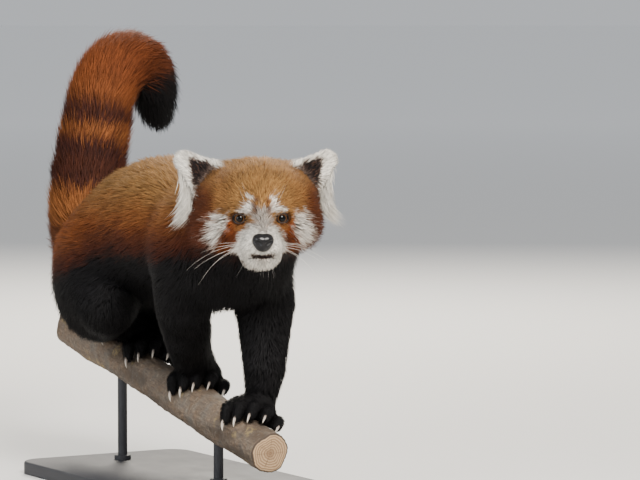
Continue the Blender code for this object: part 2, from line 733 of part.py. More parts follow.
def make_head():
    """The head with its ears parted off, and room cut for the eyes and the nose pad."""
    low, high = (-0.118, -0.085, -0.092), (0.118, 0.064, 0.084)
    shell = net_object("head", lambda q: core(from_head(q)), low, high, 0.0023, 1560, from_head)
    add_locks(shell, [*grown_locks("cheek"), *ear_locks()])
    side, back = Vector(from_head((1, 0, 0)) - HEAD), Vector(from_head((0, 1, 0)) - HEAD)
    up = side.cross(back)
    front_view = (HEAD, side, up, -0.10, 0.10)
    ears = []
    for sign, name in ((LEFT, "ear_left"), (RIGHT, "ear_right")):
        outline = [(sign * x, z) for x, z in EAR_REGION]
        ears.append(part_off(shell, name, lambda grow, outline=outline: region(outline, *front_view, grow)))
    block = region(box_outline((-0.15, -0.10), (0.15, HEAD_BACK)), HEAD, side, back, HEAD_BOTTOM, 0.15)
    boolean(shell, block, "INTERSECT")
    remove(block)
    keep_largest(shell)
    return shell, ears


def make_eyes(head_node):
    """Two eyeballs, each with a socket cut for it."""
    eyes = []
    for sign, name in ((LEFT, "eye_left"), (RIGHT, "eye_right")):
        for grow in (GAP, 0.0):
            bpy.ops.mesh.primitive_ico_sphere_add(
                subdivisions=3, radius=EYE_RADIUS + grow, location=from_head(EYE * (sign, 1, 1))
            )
            ball = bpy.context.object
            ball.name = name
            ball.data.transform(ball.matrix_world)
            ball.matrix_world = Matrix.Identity(4)
            if grow:
                boolean(head_node, ball, "DIFFERENCE")
                remove(ball)
        eyes.append(ball)
    keep_largest(head_node)
    return eyes


def make_nose(head_node):
    low, high = NOSE - 0.016, NOSE + 0.016
    room = net_object("nose_room", lambda q: nose(q) - GAP, low, high, 0.0011, 330, from_head)
    boolean(head_node, room, "DIFFERENCE")
    remove(room)
    keep_largest(head_node)
    return net_object("nose", nose, low, high, 0.0011, 330, from_head)


def claw_object(name, toe_end, ahead, down, grow):
    """A curved, tapered claw. grow widens it for the room cut in the toe."""
    ring_count, sides = 3, 5
    points = []
    side = np.cross(ahead, down)
    for k in range(ring_count):
        share = k / ring_count
        centre = toe_end + ahead * (CLAW_LENGTH * share - 0.003 - grow)
        centre += down * CLAW_LENGTH * (0.42 * share**2 - 0.16)
        radius = CLAW_RADIUS * (1 - share) ** 0.6 + grow
        for s in range(sides):
            angle = math.tau * s / sides
            out = side * 0.8 * math.cos(angle) + down * 1.15 * math.sin(angle)
            points.append(centre + out * radius)
    points.append(toe_end + ahead * (CLAW_LENGTH - 0.003 + grow) + down * CLAW_LENGTH * 0.26)
    faces = [tuple(range(sides))]
    for k in range(ring_count - 1):
        for s in range(sides):
            a, b = k * sides + s, k * sides + (s + 1) % sides
            faces.append((a, a + sides, b + sides, b))
    last = (ring_count - 1) * sides
    faces += [(last + s, len(points) - 1, last + (s + 1) % sides) for s in range(sides)]
    obj = mesh_object(name, points, faces)
    face_out(obj)
    return obj


def foot_block(name, grow=0.0):
    """The block of space that holds a foot: its own length of the perch, up to where the leg begins."""
    low, high = FOOT_SPANS[name]
    outline = box_outline((low, -0.08), (high, FOOT_TOP))
    return region(outline, on_perch(0, 0, 0), perch_axis(), perch_up(), -0.08, 0.08, grow)


def make_foot(name):
    """A foot cut to the perch it grips, and its five claws."""
    front, back = (on_perch(along, 0, 0) for along in reversed(FOOT_SPANS[name]))
    low = np.array((-0.062, front[1] - 0.008, front[2] - 0.042))
    high = np.array((0.062, back[1] + 0.016, back[2] + 0.044))
    shell = net_object(name, core, low, high, 0.0031, 330)
    block = foot_block(name)
    perch = perch_object("perch_room", GAP)
    boolean(shell, block, "INTERSECT")
    boolean(shell, perch, "DIFFERENCE")
    keep_largest(shell)
    claws = []
    for number, toe in enumerate(TOES, 1):
        _, bend, end = toe_joints(name, toe)
        ahead = (end - bend) / np.linalg.norm(end - bend)
        out = end - on_perch(*nearest_on_axis(end))
        out -= ahead * (out @ ahead)
        down = -out / np.linalg.norm(out)
        ahead = ahead * 0.8 - down * 0.35
        ahead /= np.linalg.norm(ahead)
        tip = end + ahead * TOE_RADIUS * 0.4
        room = claw_object("claw_room", tip, ahead, down, GAP)
        boolean(shell, room, "DIFFERENCE")
        claw = claw_object(f"claw_{name}_{number}", tip, ahead, down, 0.0)
        boolean(claw, perch, "DIFFERENCE")
        keep_largest(claw)
        claws.append(claw)
        remove(room)
    remove(block, perch)
    keep_largest(shell)
    return shell, claws


def nearest_on_axis(point):
    """on_perch's arguments for the point on the perch's axis nearest this one."""
    axis = np.array((0, -math.cos(PERCH_SLOPE), -math.sin(PERCH_SLOPE)))
    up = np.array((0, -math.sin(PERCH_SLOPE), math.cos(PERCH_SLOPE)))
    return (point + up * PERCH_RADIUS) @ axis, 0.0, -PERCH_RADIUS


def perch_object(name, grow=0.0):
    """A length of the branch, rough and slowly wandering, with square ends. grow makes room for it."""
    points, faces = [], []
    longer = 0.02 if grow else 0.0
    first, last = PERCH_REAR - longer, PERCH_FRONT + longer
    for k in range(PERCH_RINGS):
        along = PERCH_REAR + (PERCH_FRONT - PERCH_REAR) * k / (PERCH_RINGS - 1)
        for s in range(PERCH_SIDES):
            angle = math.tau * s / PERCH_SIDES
            rough = 0.0008 * math.sin(3 * angle + along * 31) + 0.0006 * math.sin(5 * angle - along * 57)
            swell = 0.0014 * math.sin(along * 22 + 1.2)
            place = {0: first, PERCH_RINGS - 1: last}.get(k, along)
            points.append(on_perch(place, angle * PERCH_RADIUS, rough + swell - 0.0008 + grow))
    for k in range(PERCH_RINGS - 1):
        for s in range(PERCH_SIDES):
            a, b = k * PERCH_SIDES + s, k * PERCH_SIDES + (s + 1) % PERCH_SIDES
            faces += [(a, b, b + PERCH_SIDES), (a, b + PERCH_SIDES, a + PERCH_SIDES)]
    faces.append(tuple(range(PERCH_SIDES))[::-1])
    faces.append(tuple(range(len(points) - PERCH_SIDES, len(points))))
    obj = mesh_object(name, points, faces)
    face_out(obj)
    return obj


def make_body():
    """Neck, torso, legs and tail as nodes, parted from one blended shell."""
    shell = net_object("neck", core, (-0.122, -0.196, -0.012), (0.172, 0.402, 0.442), 0.0072, 1850)
    add_locks(shell, [lock for group in ("tail", "torso", "leg") for lock in grown_locks(group)])
    head_side, head_back = from_head((1, 0, 0)) - HEAD, from_head((0, 1, 0)) - HEAD
    outline = box_outline((-0.3, -0.3), (0.3, HEAD_BACK))
    block = region(outline, HEAD, head_side, head_back, HEAD_BOTTOM, 0.3, GAP)
    boolean(shell, block, "DIFFERENCE")
    remove(block)
    for name in FEET:
        block = foot_block(name, GAP)
        boolean(shell, block, "DIFFERENCE")
        remove(block)
    keep_largest(shell)
    nodes = [part_off(shell, name, block) for name, block in body_cuts()]
    keep_largest(shell)
    return [shell, *nodes]


def body_cuts():
    """The blocks that part the body, in order. Most widen the way the coat runs, to cut few locks short."""
    def seen_from_front(outline, near, far):
        return lambda grow: region(outline, (0, 0, 0), (1, 0, 0), (0, 0, 1), near, far, grow)

    def seen_from_side(outline):
        return lambda grow: region(outline, (0, 0, 0), (0, 1, 0), (0, 0, 1), -0.3, 0.3, grow)

    def turned(origin, axis, profile):
        return lambda grow: funnel(origin, axis, profile, grow)

    cuts = [("tail_tip", seen_from_front(TAIL_TIP_REGION, -0.45, -0.25))]
    for name, low in (("tail_curl", 0.290), ("tail_upper", 0.196)):
        place = settled_on_tail(low)
        profile = ((low, 0.025), (low + 0.062, 0.049), (low + 0.062, 0.17), (low + 0.30, 0.17))
        cuts.append((name, turned((place[0], place[1], 0), (0, 0, 1), profile)))
    cuts.append(("tail_root", seen_from_side(TAIL_ROOT_REGION)))
    legs = (("foreleg", FORELEG_REGION, -0.012, 0.165), ("hindleg", HINDLEG_REGION, -0.29, -0.066))
    for sign, side in ((LEFT, "left"), (RIGHT, "right")):
        for name, outline, near, far in legs:
            cuts.append((f"{name}_{side}", seen_from_front([(sign * x, z) for x, z in outline], near, far)))
    rear = ((0.060, 0.058), (0.125, 0.092), (0.125, 0.40), (0.60, 0.40))
    cuts.append(("torso_rear", turned((0, 0, 0.190), (0, 1, 0), rear)))
    front = ((-0.120, 0.045), (-0.086, 0.085), (-0.086, 0.40), (0.60, 0.40))
    cuts.append(("torso_front", turned((0, 0, 0.178), (0, 1, 0), front)))
    return cuts


def settled_on_tail(height):
    """The tail's middle where it rises through this height."""
    rising = [place for place, _ in TAIL[3:8]]
    heights = [place[2] for place in rising]
    return [float(np.interp(height, heights, [place[axis] for place in rising])) for axis in (0, 1)]


def perch_axis():
    return on_perch(1, 0, 0) - on_perch(0, 0, 0)


def perch_up():
    return on_perch(0, 0, 1) - on_perch(0, 0, 0)


def make_feet():
    feet, claws = [], []
    for name in FEET:
        shell, own = make_foot(name)
        feet.append(shell)
        claws += own
    return feet, claws


def make_stand():
    """A flat base with rounded corners and two short rods up to the perch."""
    half_x, half_y = BASE_SIZE[0] / 2, BASE_SIZE[1] / 2
    outline = []
    for turn in range(4):
        corner = Vector((half_x - BASE_CORNER, half_y - BASE_CORNER))
        corner = Vector((corner.x * (1, -1, -1, 1)[turn], corner.y * (1, 1, -1, -1)[turn]))
        for step in range(7):
            angle = math.radians(90 * turn + 15 * step)
            outline.append(corner + Vector((math.cos(angle), math.sin(angle))) * BASE_CORNER)
    work = bmesh.new()
    verts = [work.verts.new((p.x, p.y, 0)) for p in outline]
    face = work.faces.new(verts)
    risen = bmesh.ops.extrude_face_region(work, geom=[face])["geom"]
    raised = [v for v in risen if isinstance(v, bmesh.types.BMVert)]
    bmesh.ops.translate(work, verts=raised, vec=(0, 0, BASE_SIZE[2]))
    rim = [e for e in work.edges if all(abs(v.co.z - BASE_SIZE[2]) < 1e-6 for v in e.verts)]
    bmesh.ops.bevel(work, geom=rim, offset=BASE_EDGE, segments=2, affect="EDGES", profile=0.5)
    bmesh.ops.recalc_face_normals(work, faces=work.faces)
    base = mesh_object("stand_base", [], [])
    work.to_mesh(base.data)
    work.free()
    room = perch_object("perch_room", GAP)
    shift(room)
    rods = []
    for place, y in ROD_PLACES.items():
        top = GRIP[2] + (y - GRIP[1]) * math.tan(PERCH_SLOPE) - PERCH_RADIUS
        height = top - BASE_SIZE[2] - GAP
        bpy.ops.mesh.primitive_cylinder_add(
            vertices=20, radius=ROD_RADIUS, depth=height, location=(0, y, BASE_SIZE[2] + GAP + height / 2)
        )
        rod = bpy.context.object
        rod.name = f"stand_rod_{place}"
        rod.data.transform(rod.matrix_world)
        rod.matrix_world = Matrix.Identity(4)
        boolean(rod, room, "DIFFERENCE")
        keep_largest(rod)
        rods.append(rod)
    remove(room)
    return [base, *rods]


def shift(obj):
    """From places measured from GRIP to the part's own frame."""
    obj.data.transform(Matrix.Translation(GRIP))


def paint(obj, name):
    material = bpy.data.materials.get(name) or bpy.data.materials.new(name)
    material.use_nodes = True
    shader = material.node_tree.nodes["Principled BSDF"]
    shader.inputs["Base Color"].default_value = (*COLOURS[name], 1)
    shader.inputs["Roughness"].default_value = 0.2 if name in ("eye", "nose") else 0.8
    obj.data.materials.clear()
    obj.data.materials.append(material)


def main():
    for obj in list(bpy.data.objects):
        bpy.data.objects.remove(obj)
    head_node, ears = make_head()
    eyes = make_eyes(head_node)
    nose_node = make_nose(head_node)
    feet, claws = make_feet()
    perch = perch_object("perch")
    body = make_body()
    for obj in (head_node, *ears, *eyes, nose_node, *feet, *claws, perch, *body):
        shift(obj)
    stand = make_stand()
    for obj in (head_node, *body):
        paint(obj, "rust")
        if obj.name.startswith(("foreleg", "hindleg")):
            paint(obj, "black")
        if obj.name.startswith("tail"):
            paint(obj, "tail")
    finishes = (
        (ears, "cream"), (eyes, "eye"), ([nose_node], "nose"), (feet, "black"),
        (claws, "horn"), ([perch], "bark"), (stand, "stand"),
    )
    for objects, name in finishes:
        for obj in objects:
            paint(obj, name)


main()
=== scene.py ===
"""A life-size red panda in full coat, walking down a cut length of branch on a display stand.

The animal's form is a set of blended round shapes, measured in metres from a grip point on top of the branch. The
skin is one closed surface inside that form. The coat is tufts rooted on the skin that reach out to the form's own
surface. Skin and coat take their markings from the same functions."""

import math

import bmesh
import bpy
import numpy as np
from bpy.props import FloatProperty, FloatVectorProperty, IntProperty, PointerProperty
from mathutils import Matrix, Vector, noise


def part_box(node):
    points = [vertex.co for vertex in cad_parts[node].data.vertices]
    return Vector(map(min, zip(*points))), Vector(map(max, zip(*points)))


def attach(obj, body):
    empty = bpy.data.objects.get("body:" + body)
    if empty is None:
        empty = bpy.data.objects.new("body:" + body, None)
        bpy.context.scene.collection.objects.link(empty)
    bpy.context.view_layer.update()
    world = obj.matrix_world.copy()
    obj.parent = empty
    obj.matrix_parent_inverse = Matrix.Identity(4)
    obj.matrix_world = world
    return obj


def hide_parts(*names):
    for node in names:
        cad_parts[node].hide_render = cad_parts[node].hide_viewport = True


bl_info = {
    "name": "Red panda model",
    "version": (1, 0, 0),
    "blender": (4, 5, 0),
    "location": "3D View > Sidebar > Red panda",
    "description": "Builds a red panda in full coat on a branch and a display stand",
    "category": "Object",
}

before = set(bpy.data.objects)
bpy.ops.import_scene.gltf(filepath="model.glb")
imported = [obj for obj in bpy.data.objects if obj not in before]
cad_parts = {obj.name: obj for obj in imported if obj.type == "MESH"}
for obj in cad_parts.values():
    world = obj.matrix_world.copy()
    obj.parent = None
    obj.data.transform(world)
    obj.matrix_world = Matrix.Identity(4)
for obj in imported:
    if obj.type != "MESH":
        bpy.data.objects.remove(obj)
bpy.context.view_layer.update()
LEFT, RIGHT = 1, -1

# Perch and stand
GRIP = np.array((0.0, -0.060, 0.132))
PERCH_RADIUS = 0.026
PERCH_SLOPE = math.atan(0.208)
PERCH_FRONT, PERCH_REAR = 0.196, -0.336
BASE_LOW, BASE_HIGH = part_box("stand_base")
BASE_CORNER = 0.030
ROD_RADIUS = 0.006

# Head, in its own frame: X to the animal's left, -Y forward, Z up, origin between the cheeks
HEAD = np.array((-0.018, -0.192, 0.230))
HEAD_TURN = math.radians(-24)
EYE = np.array((0.0238, -0.0299, -0.0158))
EYE_RADIUS = 0.0080
EYE_AXIS = np.array((0.30, -0.95, 0.10)) / np.linalg.norm((0.30, -0.95, 0.10))
LID_RADIUS, LID_THICK = 0.0062, 0.0011
LID_AHEAD = math.sqrt(EYE_RADIUS**2 - LID_RADIUS**2)
NOSE = np.array((0.0, -0.0626, -0.0408))
NOSE_RADII = (0.0108, 0.0096, 0.0108)
MOUTH = (((0.0190, -0.0400, -0.0560), 0.0010), ((0.0110, -0.0535, -0.0588), 0.0016), ((0, -0.0585, -0.0592), 0.0019))
EAR_BASE = np.array((0.0570, 0.0200, 0.0270))
EAR_TIP = np.array((0.0930, 0.0330, 0.0560))
EAR_BASE_RADIUS, EAR_TIP_RADIUS = 0.0240, 0.0115
EAR_THICK, EAR_CUP = 0.0062, 0.0110

# How deep the skin lies under the tips of the coat
COAT_DEPTH = {"torso": 0.0150, "neck": 0.0150, "tail": 0.0220, "leg": 0.0065, "cheek": 0.0110, "foot": 0.0014, "ear": 0.0010}
FACE_DEPTH = 0.0042

# Torso and haunches: centre and half sizes
CHEST = ((0, -0.065, 0.178), (0.072, 0.080, 0.070))
BREAST = ((0, -0.108, 0.168), (0.058, 0.045, 0.060))
BARREL = ((0, 0.066, 0.190), (0.083, 0.125, 0.085))
LOIN = ((0, 0.152, 0.160), (0.084, 0.092, 0.082))
RUMP = ((0, 0.215, 0.150), (0.068, 0.062, 0.068))
HAUNCH = ((0.056, 0.168, 0.116), (0.044, 0.072, 0.076))
SHOULDER = ((0.044, -0.070, 0.166), (0.040, 0.058, 0.070))

# Limbs: joints and radii
LEGS = {
    "forefoot_left": (((0.056, -0.062, 0.150), 0.037), ((0.057, -0.074, 0.100), 0.037), ((0.048, -0.088, 0.065), 0.031),
                      ((0.035, -0.112, 0.026), 0.026)),
    "forefoot_right": (((-0.052, -0.066, 0.150), 0.037), ((-0.050, -0.062, 0.100), 0.033),
                       ((-0.031, -0.038, 0.068), 0.030), ((-0.013, -0.012, 0.040), 0.026)),
    "hindfoot_left": (((0.058, 0.160, 0.115), 0.042), ((0.064, 0.150, 0.090), 0.036), ((0.036, 0.222, 0.080), 0.032),
                      ((0.016, 0.250, 0.066), 0.023)),
    "hindfoot_right": (((-0.058, 0.150, 0.110), 0.042), ((-0.064, 0.112, 0.086), 0.036), ((-0.034, 0.168, 0.068), 0.027),
                       ((-0.010, 0.158, 0.052), 0.019)),
}
# Feet: how far the ball is along the perch and across its top, the heading of the toes in degrees, and the heel's reach
FEET = {
    "forefoot_left": (0.124, 0.014, 34, 0.014),
    "forefoot_right": (-0.006, 0.010, 36, 0.014),
    "hindfoot_left": (-0.232, 0.012, 6, 0.034),
    "hindfoot_right": (-0.140, 0.012, 24, 0.030),
}
TOES = (-2, -1, 0, 1, 2)
TOE_SPREAD, TOE_REACH, TOE_RADIUS = 0.0130, 0.032, 0.0078
CLAW_LENGTH, CLAW_RADIUS = 0.0150, 0.0023

# Tail: centreline and radius with its fur
TAIL = (
    ((0.000, 0.245, 0.160), 0.038), ((0.004, 0.290, 0.143), 0.042), ((0.012, 0.322, 0.140), 0.044),
    ((0.019, 0.338, 0.165), 0.047), ((0.021, 0.340, 0.206), 0.049), ((0.025, 0.340, 0.245), 0.049),
    ((0.035, 0.340, 0.297), 0.047), ((0.043, 0.340, 0.338), 0.045), ((0.057, 0.340, 0.371), 0.044),
    ((0.080, 0.341, 0.386), 0.042), ((0.106, 0.342, 0.380), 0.038), ((0.120, 0.343, 0.358), 0.034),
    ((0.126, 0.344, 0.334), 0.030), ((0.128, 0.345, 0.316), 0.024),
)
# Rings of the tail: where along it, in metres from its root, and how dark
TAIL_RINGS = ((0.000, 0.35), (0.060, 0.30), (0.088, 0.55), (0.116, 0.55), (0.136, 0.12), (0.164, 0.12), (0.180, 1.0),
              (0.192, 0.88), (0.204, 0.84), (0.218, 1.0), (0.230, 0.95), (0.240, 0.20), (0.252, 0.20), (0.262, 0.95),
              (0.276, 0.95), (0.290, 0.30), (0.330, 0.42), (0.400, 0.62), (0.460, 0.90))
TAIL_GOLD = ((0.0, 0.30), (0.11, 0.20), (0.140, 0.36), (0.165, 0.36), (0.180, 0.1), (0.235, 0.1), (0.246, 0.36),
             (0.256, 0.1), (0.285, 0.16), (0.310, 0.18), (0.345, 0.10), (0.400, 0.0))

# The coat by region: distance between tufts, their length and width, and how far their tips stand off the form
COAT = {
    "torso": (0.00168, 0.029, 0.0014, 0.0010), "tail": (0.00132, 0.038, 0.0015, 0.0010),
    "leg": (0.00172, 0.021, 0.0013, 0.0010), "foot": (0.00160, 0.0078, 0.0010, 0.0011),
    "ear": (0.00100, 0.0095, 0.0009, 0.0020), "face": (0.00092, 0.0085, 0.0009, 0.0017),
    "head": (0.00108, 0.0150, 0.0009, 0.0012),
}


def blob(p, centre, radii):
    """Distance of points p from an ellipsoid, near enough."""
    q = (p - np.array(centre)) / np.array(radii)
    far = np.sqrt((q * q).sum(1))
    q /= np.array(radii)
    return far * (far - 1) / np.maximum(np.sqrt((q * q).sum(1)), 1e-9)


def bone(p, start, end, start_radius, end_radius):
    """Distance of points p from a tapered rod with round ends."""
    start = np.array(start, float)
    run = np.array(end, float) - start
    share = np.clip((p - start) @ run / (run @ run), 0, 1)
    off = p - start - share[:, None] * run
    return np.sqrt((off * off).sum(1)) - start_radius - (end_radius - start_radius) * share


def chain(p, joints):
    """Distance from rods that follow one another through ((x, y, z), radius) joints."""
    return np.minimum.reduce([bone(p, a, b, ra, rb) for (a, ra), (b, rb) in zip(joints, joints[1:])])


def fuse(one, other, soft):
    """Two distances made one, with a fillet of about this size."""
    share = np.clip(0.5 + 0.5 * (other - one) / soft, 0, 1)
    return other * (1 - share) + one * share - soft * share * (1 - share)


def carve(body, tool, soft):
    return -fuse(-body, tool, soft)


def ramp(value, start, end):
    """0 at start and 1 at end, with a soft beginning and end."""
    share = np.clip((value - start) / (end - start), 0, 1)
    return share * share * (3 - 2 * share)


def mirrored(q):
    return np.column_stack((np.abs(q[:, 0]), q[:, 1], q[:, 2]))


def unit(v):
    return v / np.maximum(np.linalg.norm(v, axis=-1, keepdims=True), 1e-9)


def perch_axis():
    return np.array((0, -math.cos(PERCH_SLOPE), -math.sin(PERCH_SLOPE)))


def perch_up():
    return np.array((0, -math.sin(PERCH_SLOPE), math.cos(PERCH_SLOPE)))


def on_perch(along, across, above):
    """The point this far along the perch from the grip, round its surface from the top to the left, and off it."""
    angle = across / PERCH_RADIUS
    out = perch_up() * math.cos(angle) + np.array((math.sin(angle), 0, 0))
    return perch_axis() * along - perch_up() * PERCH_RADIUS + out * (PERCH_RADIUS + above)


def above_perch(p):
    """How far points p are off the perch's surface."""
    off = p + perch_up() * PERCH_RADIUS
    off = off - (off @ perch_axis())[:, None] * perch_axis()
    return np.linalg.norm(off, axis=1) - PERCH_RADIUS


def head_turn():
    return np.array(Matrix.Rotation(HEAD_TURN, 3, "Z"))


def in_head(p):
    return (p - HEAD) @ head_turn()


def from_head(q):
    return np.array(q) @ head_turn().T + HEAD


def ear_axes():
    """Across, up and forward directions of the left ear in the head's frame."""
    up = unit(EAR_TIP - EAR_BASE)
    ahead = np.array((0.22, -0.95, 0.20))
    ahead = unit(ahead - up * (ahead @ up))
    return np.cross(ahead, up), up, ahead


def in_ear(half):
    """Points of the head's left half measured across, up and forward from the ear's base."""
    return (half - EAR_BASE) @ np.array(ear_axes()).T


def ear_outline(local, inset=0.0):
    """Distance from the ear's rounded triangle, seen flat."""
    reach = np.linalg.norm(EAR_TIP - EAR_BASE) - EAR_TIP_RADIUS
    flat = np.column_stack((local[:, 0], local[:, 1], np.zeros(len(local))))
    return bone(flat, (0, 0, 0), (0, reach, 0), EAR_BASE_RADIUS - inset, EAR_TIP_RADIUS - inset)


def ear_fold(local):
    """How far the ear's middle sheet is bent forward at each point."""
    reach = np.linalg.norm(EAR_TIP - EAR_BASE) - EAR_TIP_RADIUS
    width = EAR_BASE_RADIUS + (EAR_TIP_RADIUS - EAR_BASE_RADIUS) * np.clip(local[:, 1] / reach, 0, 1)
    return EAR_CUP * (np.clip(np.abs(local[:, 0]) / width, 0, 1) ** 2 - 1) * np.clip(1.2 - local[:, 1] / reach, 0.1, 1)


def ear(half):
    """Distance from the ear, a rounded triangle bent into a cup that opens forward."""
    local = in_ear(half)
    sheet = np.abs(local[:, 2] - ear_fold(local)) - EAR_THICK / 2
    return carve(sheet, -ear_outline(local), 0.004)


def around_eye(half):
    """How far points are out from the eye's line of sight, measured on its almond opening, and how far ahead."""
    off = half - EYE
    across = unit(np.cross(EYE_AXIS, (0, 0, 1)))
    wide, high = off @ across, off @ np.cross(across, EYE_AXIS)
    return np.hypot(wide / 1.08, high / 0.90), off @ EYE_AXIS


def lids(half):
    """Distance from the lids: a thin round cover of the eyeball with an almond opening."""
    out, ahead = around_eye(half)
    cover = np.abs(np.linalg.norm(half - EYE, axis=1) - EYE_RADIUS - 0.0002) - LID_THICK
    return carve(cover, np.where(ahead > 0, out - LID_RADIUS, 1.0), 0.0010)


def lid_edge(half):
    """Distance from the edge of the eye's opening."""
    out, ahead = around_eye(half)
    return np.hypot(out - LID_RADIUS, ahead - LID_AHEAD)


def nose(q):
    """Distance from the bare nose pad, with its wings and comma-shaped nostrils."""
    half = mirrored(q)
    pad = blob(q, NOSE + (0, 0, -0.0006), NOSE_RADII)
    pad = fuse(pad, blob(half, NOSE + (0.0060, -0.0002, 0.0026), (0.0062, 0.0078, 0.0066)), 0.004)
    hole = bone(half, NOSE + (0.0048, -0.0100, -0.0016), NOSE + (0.0112, -0.0060, 0.0012), 0.0028, 0.0016)
    parting = bone(q, NOSE + (0, -0.0094, -0.0116), NOSE + (0, -0.0102, -0.0036), 0.0010, 0.0006)
    return carve(carve(pad, hole, 0.0012), parting, 0.0012)


def bareness(q):
    """Distance from what has no long hair: the eyes, the nose pad and the line of the mouth."""
    half = mirrored(q)
    line = chain(half, [(place, 0.0) for place, _ in MOUTH])
    return np.minimum(np.minimum(line, nose(q)), lid_edge(half))


def skull(q, lean=0.0):
    """Distance from the head without its ears, in its own frame. At lean 1 it is the skin."""
    half = mirrored(q)
    d = blob(q, (0, 0.012, 0.008), (0.068, 0.058, 0.0345))
    d = fuse(d, blob(half, (0.040, 0.010, -0.026), (0.0375, 0.040, 0.033)) + lean * COAT_DEPTH["cheek"], 0.022)
    d = fuse(d, bone(q, (0, -0.020, -0.036), (0, -0.043, -0.043), 0.031, 0.0210), 0.016)
    d = fuse(d, bone(q, (0, -0.016, 0.006), (0, -0.052, -0.032), 0.019, 0.0110), 0.016)
    d = fuse(d, blob(half, (0.0105, -0.0470, -0.0470), (0.0135, 0.0165, 0.0120)), 0.007)
    d = fuse(d, blob(q, (0, -0.031, -0.0590), (0.0245, 0.0245, 0.0150)), 0.008)
    d = carve(d, chain(half, MOUTH), 0.003)
    d = carve(d, bone(q, (0, -0.0640, -0.0575), (0, -0.0700, -0.0460), 0.0012, 0.0012), 0.003)
    d = carve(d, blob(half, EYE + (-0.0035, -0.0072, 0.0006), (0.0090, 0.0080, 0.0080)), 0.008)
    if lean:
        d = d + lean * FACE_DEPTH * (0.12 + 0.88 * ramp(bareness(q), 0.0, 0.030))
    return fuse(d, lids(half), 0.0045)


def head(p, lean=0.0):
    q = in_head(p)
    return fuse(skull(q, lean), ear(mirrored(q)) + lean * COAT_DEPTH["ear"], 0.008)


def neck(p):
    nape = from_head((0, 0.026, -0.004))
    return bone(p, nape, (0, -0.088, 0.178), 0.056, 0.068)


def torso(p):
    half = mirrored(p)
    d = blob(p, *CHEST)
    d = fuse(d, blob(p, *BREAST), 0.03)
    d = fuse(d, blob(p, *BARREL), 0.04)
    d = fuse(d, blob(p, *LOIN), 0.04)
    d = fuse(d, blob(p, *RUMP), 0.03)
    d = fuse(d, blob(half, *HAUNCH), 0.03)
    return fuse(d, blob(half, *SHOULDER), 0.03)


def foot_directions(name):
    """Unit steps (along, across) towards the toes and from the right toe to the left one."""
    heading = math.radians(FEET[name][2])
    return np.array((math.cos(heading), -math.sin(heading))), np.array((math.sin(heading), math.cos(heading)))


def toe_joints(name, toe):
    """Where a toe leaves the foot, bends and ends, as points on the perch."""
    along, across, _, _ = FEET[name]
    ahead, side = foot_directions(name)
    reach = TOE_REACH - 0.0022 * toe * toe
    places = []
    for share, spread, above in ((0.2, 0.75, 0.013), (0.66, 0.95, 0.014), (1.0, 1.1, 0.0065)):
        at = np.array((along, across)) + ahead * reach * share + side * TOE_SPREAD * spread * toe
        places.append(on_perch(at[0], at[1], above))
    return places


def foot(p, name):
    along, across, _, heel = FEET[name]
    ahead, side = foot_directions(name)
    ball = on_perch(along, across, 0.011)
    back = np.array((along, across)) - ahead * heel
    d = bone(p, ball, on_perch(back[0], back[1], 0.012), 0.0175, 0.0165)
    for half in (-1, 1):
        at = np.array((along, across)) + side * 0.013 * half
        d = fuse(d, bone(p, on_perch(at[0], at[1], 0.010), ball, 0.0125, 0.0150), 0.008)
    for toe in TOES:
        a, b, c = toe_joints(name, toe)
        d = fuse(d, chain(p, ((a, TOE_RADIUS), (b, TOE_RADIUS * 1.05), (c, TOE_RADIUS * 0.86))), 0.0035)
    return d


def leg_joints(name):
    """A leg's joints down to its heel on the perch."""
    along, across, _, heel = FEET[name]
    ahead, _ = foot_directions(name)
    back = np.array((along, across)) - ahead * heel * 0.8
    return (*LEGS[name], (tuple(on_perch(back[0], back[1], 0.014)), 0.017))


def smooth_line(joints, steps):
    """The joints with more between them, on a smooth curve through them all."""
    values = np.array([(*place, radius) for place, radius in joints])
    ends = np.vstack((2 * values[0] - values[1], values, 2 * values[-1] - values[-2]))
    rows = []
    for i in range(1, len(ends) - 2):
        for t in np.arange(steps) / steps:
            a, b, c, d = ends[i - 1 : i + 3]
            rows.append(0.5 * (2 * b + (c - a) * t + (2 * a - 5 * b + 4 * c - d) * t**2 + (3 * b - a - 3 * c + d) * t**3))
    rows.append(values[-1])
    return [(tuple(row[:3]), row[3]) for row in rows]


TAIL_LINE = smooth_line(TAIL, 3)


def tail(p):
    return chain(p, TAIL_LINE)


def blended(d, p, part, soft, low, high):
    """Distances d with a part fused on, worked out only for the points in the box that holds it."""
    near = np.all((p > low) & (p < high), axis=1)
    if near.any():
        d[near] = fuse(d[near], part(p[near]), soft)
    return d


def animal(p, lean=0.0):
    """Distance of points p from the animal: out to the tips of its coat, or at lean 1 its skin."""
    d = torso(p) + lean * COAT_DEPTH["torso"]
    d = blended(d, p, lambda x: neck(x) + lean * COAT_DEPTH["neck"], 0.035, (-0.16, -0.32, 0.05), (0.15, 0.04, 0.38))
    d = blended(d, p, lambda x: head(x, lean), 0.030, (-0.20, -0.34, 0.09), (0.18, -0.01, 0.38))
    for name in FEET:
        joints = leg_joints(name)
        places = np.array([place for place, _ in joints])
        low, high = places.min(0) - 0.075, places.max(0) + 0.075
        d = blended(d, p, lambda x: chain(x, joints) + lean * COAT_DEPTH["leg"], 0.014, low, high)
    for name in FEET:
        ball = on_perch(FEET[name][0], FEET[name][1], 0.011)
        low, high = ball - 0.080, ball + 0.080
        d = blended(d, p, lambda x: foot(x, name) + lean * COAT_DEPTH["foot"], 0.006, low, high)
    return blended(d, p, lambda x: tail(x) + lean * COAT_DEPTH["tail"], 0.014, (-0.09, 0.16, 0.06), (0.21, 0.44, 0.48))


def skin(p):
    return animal(p, 1.0)


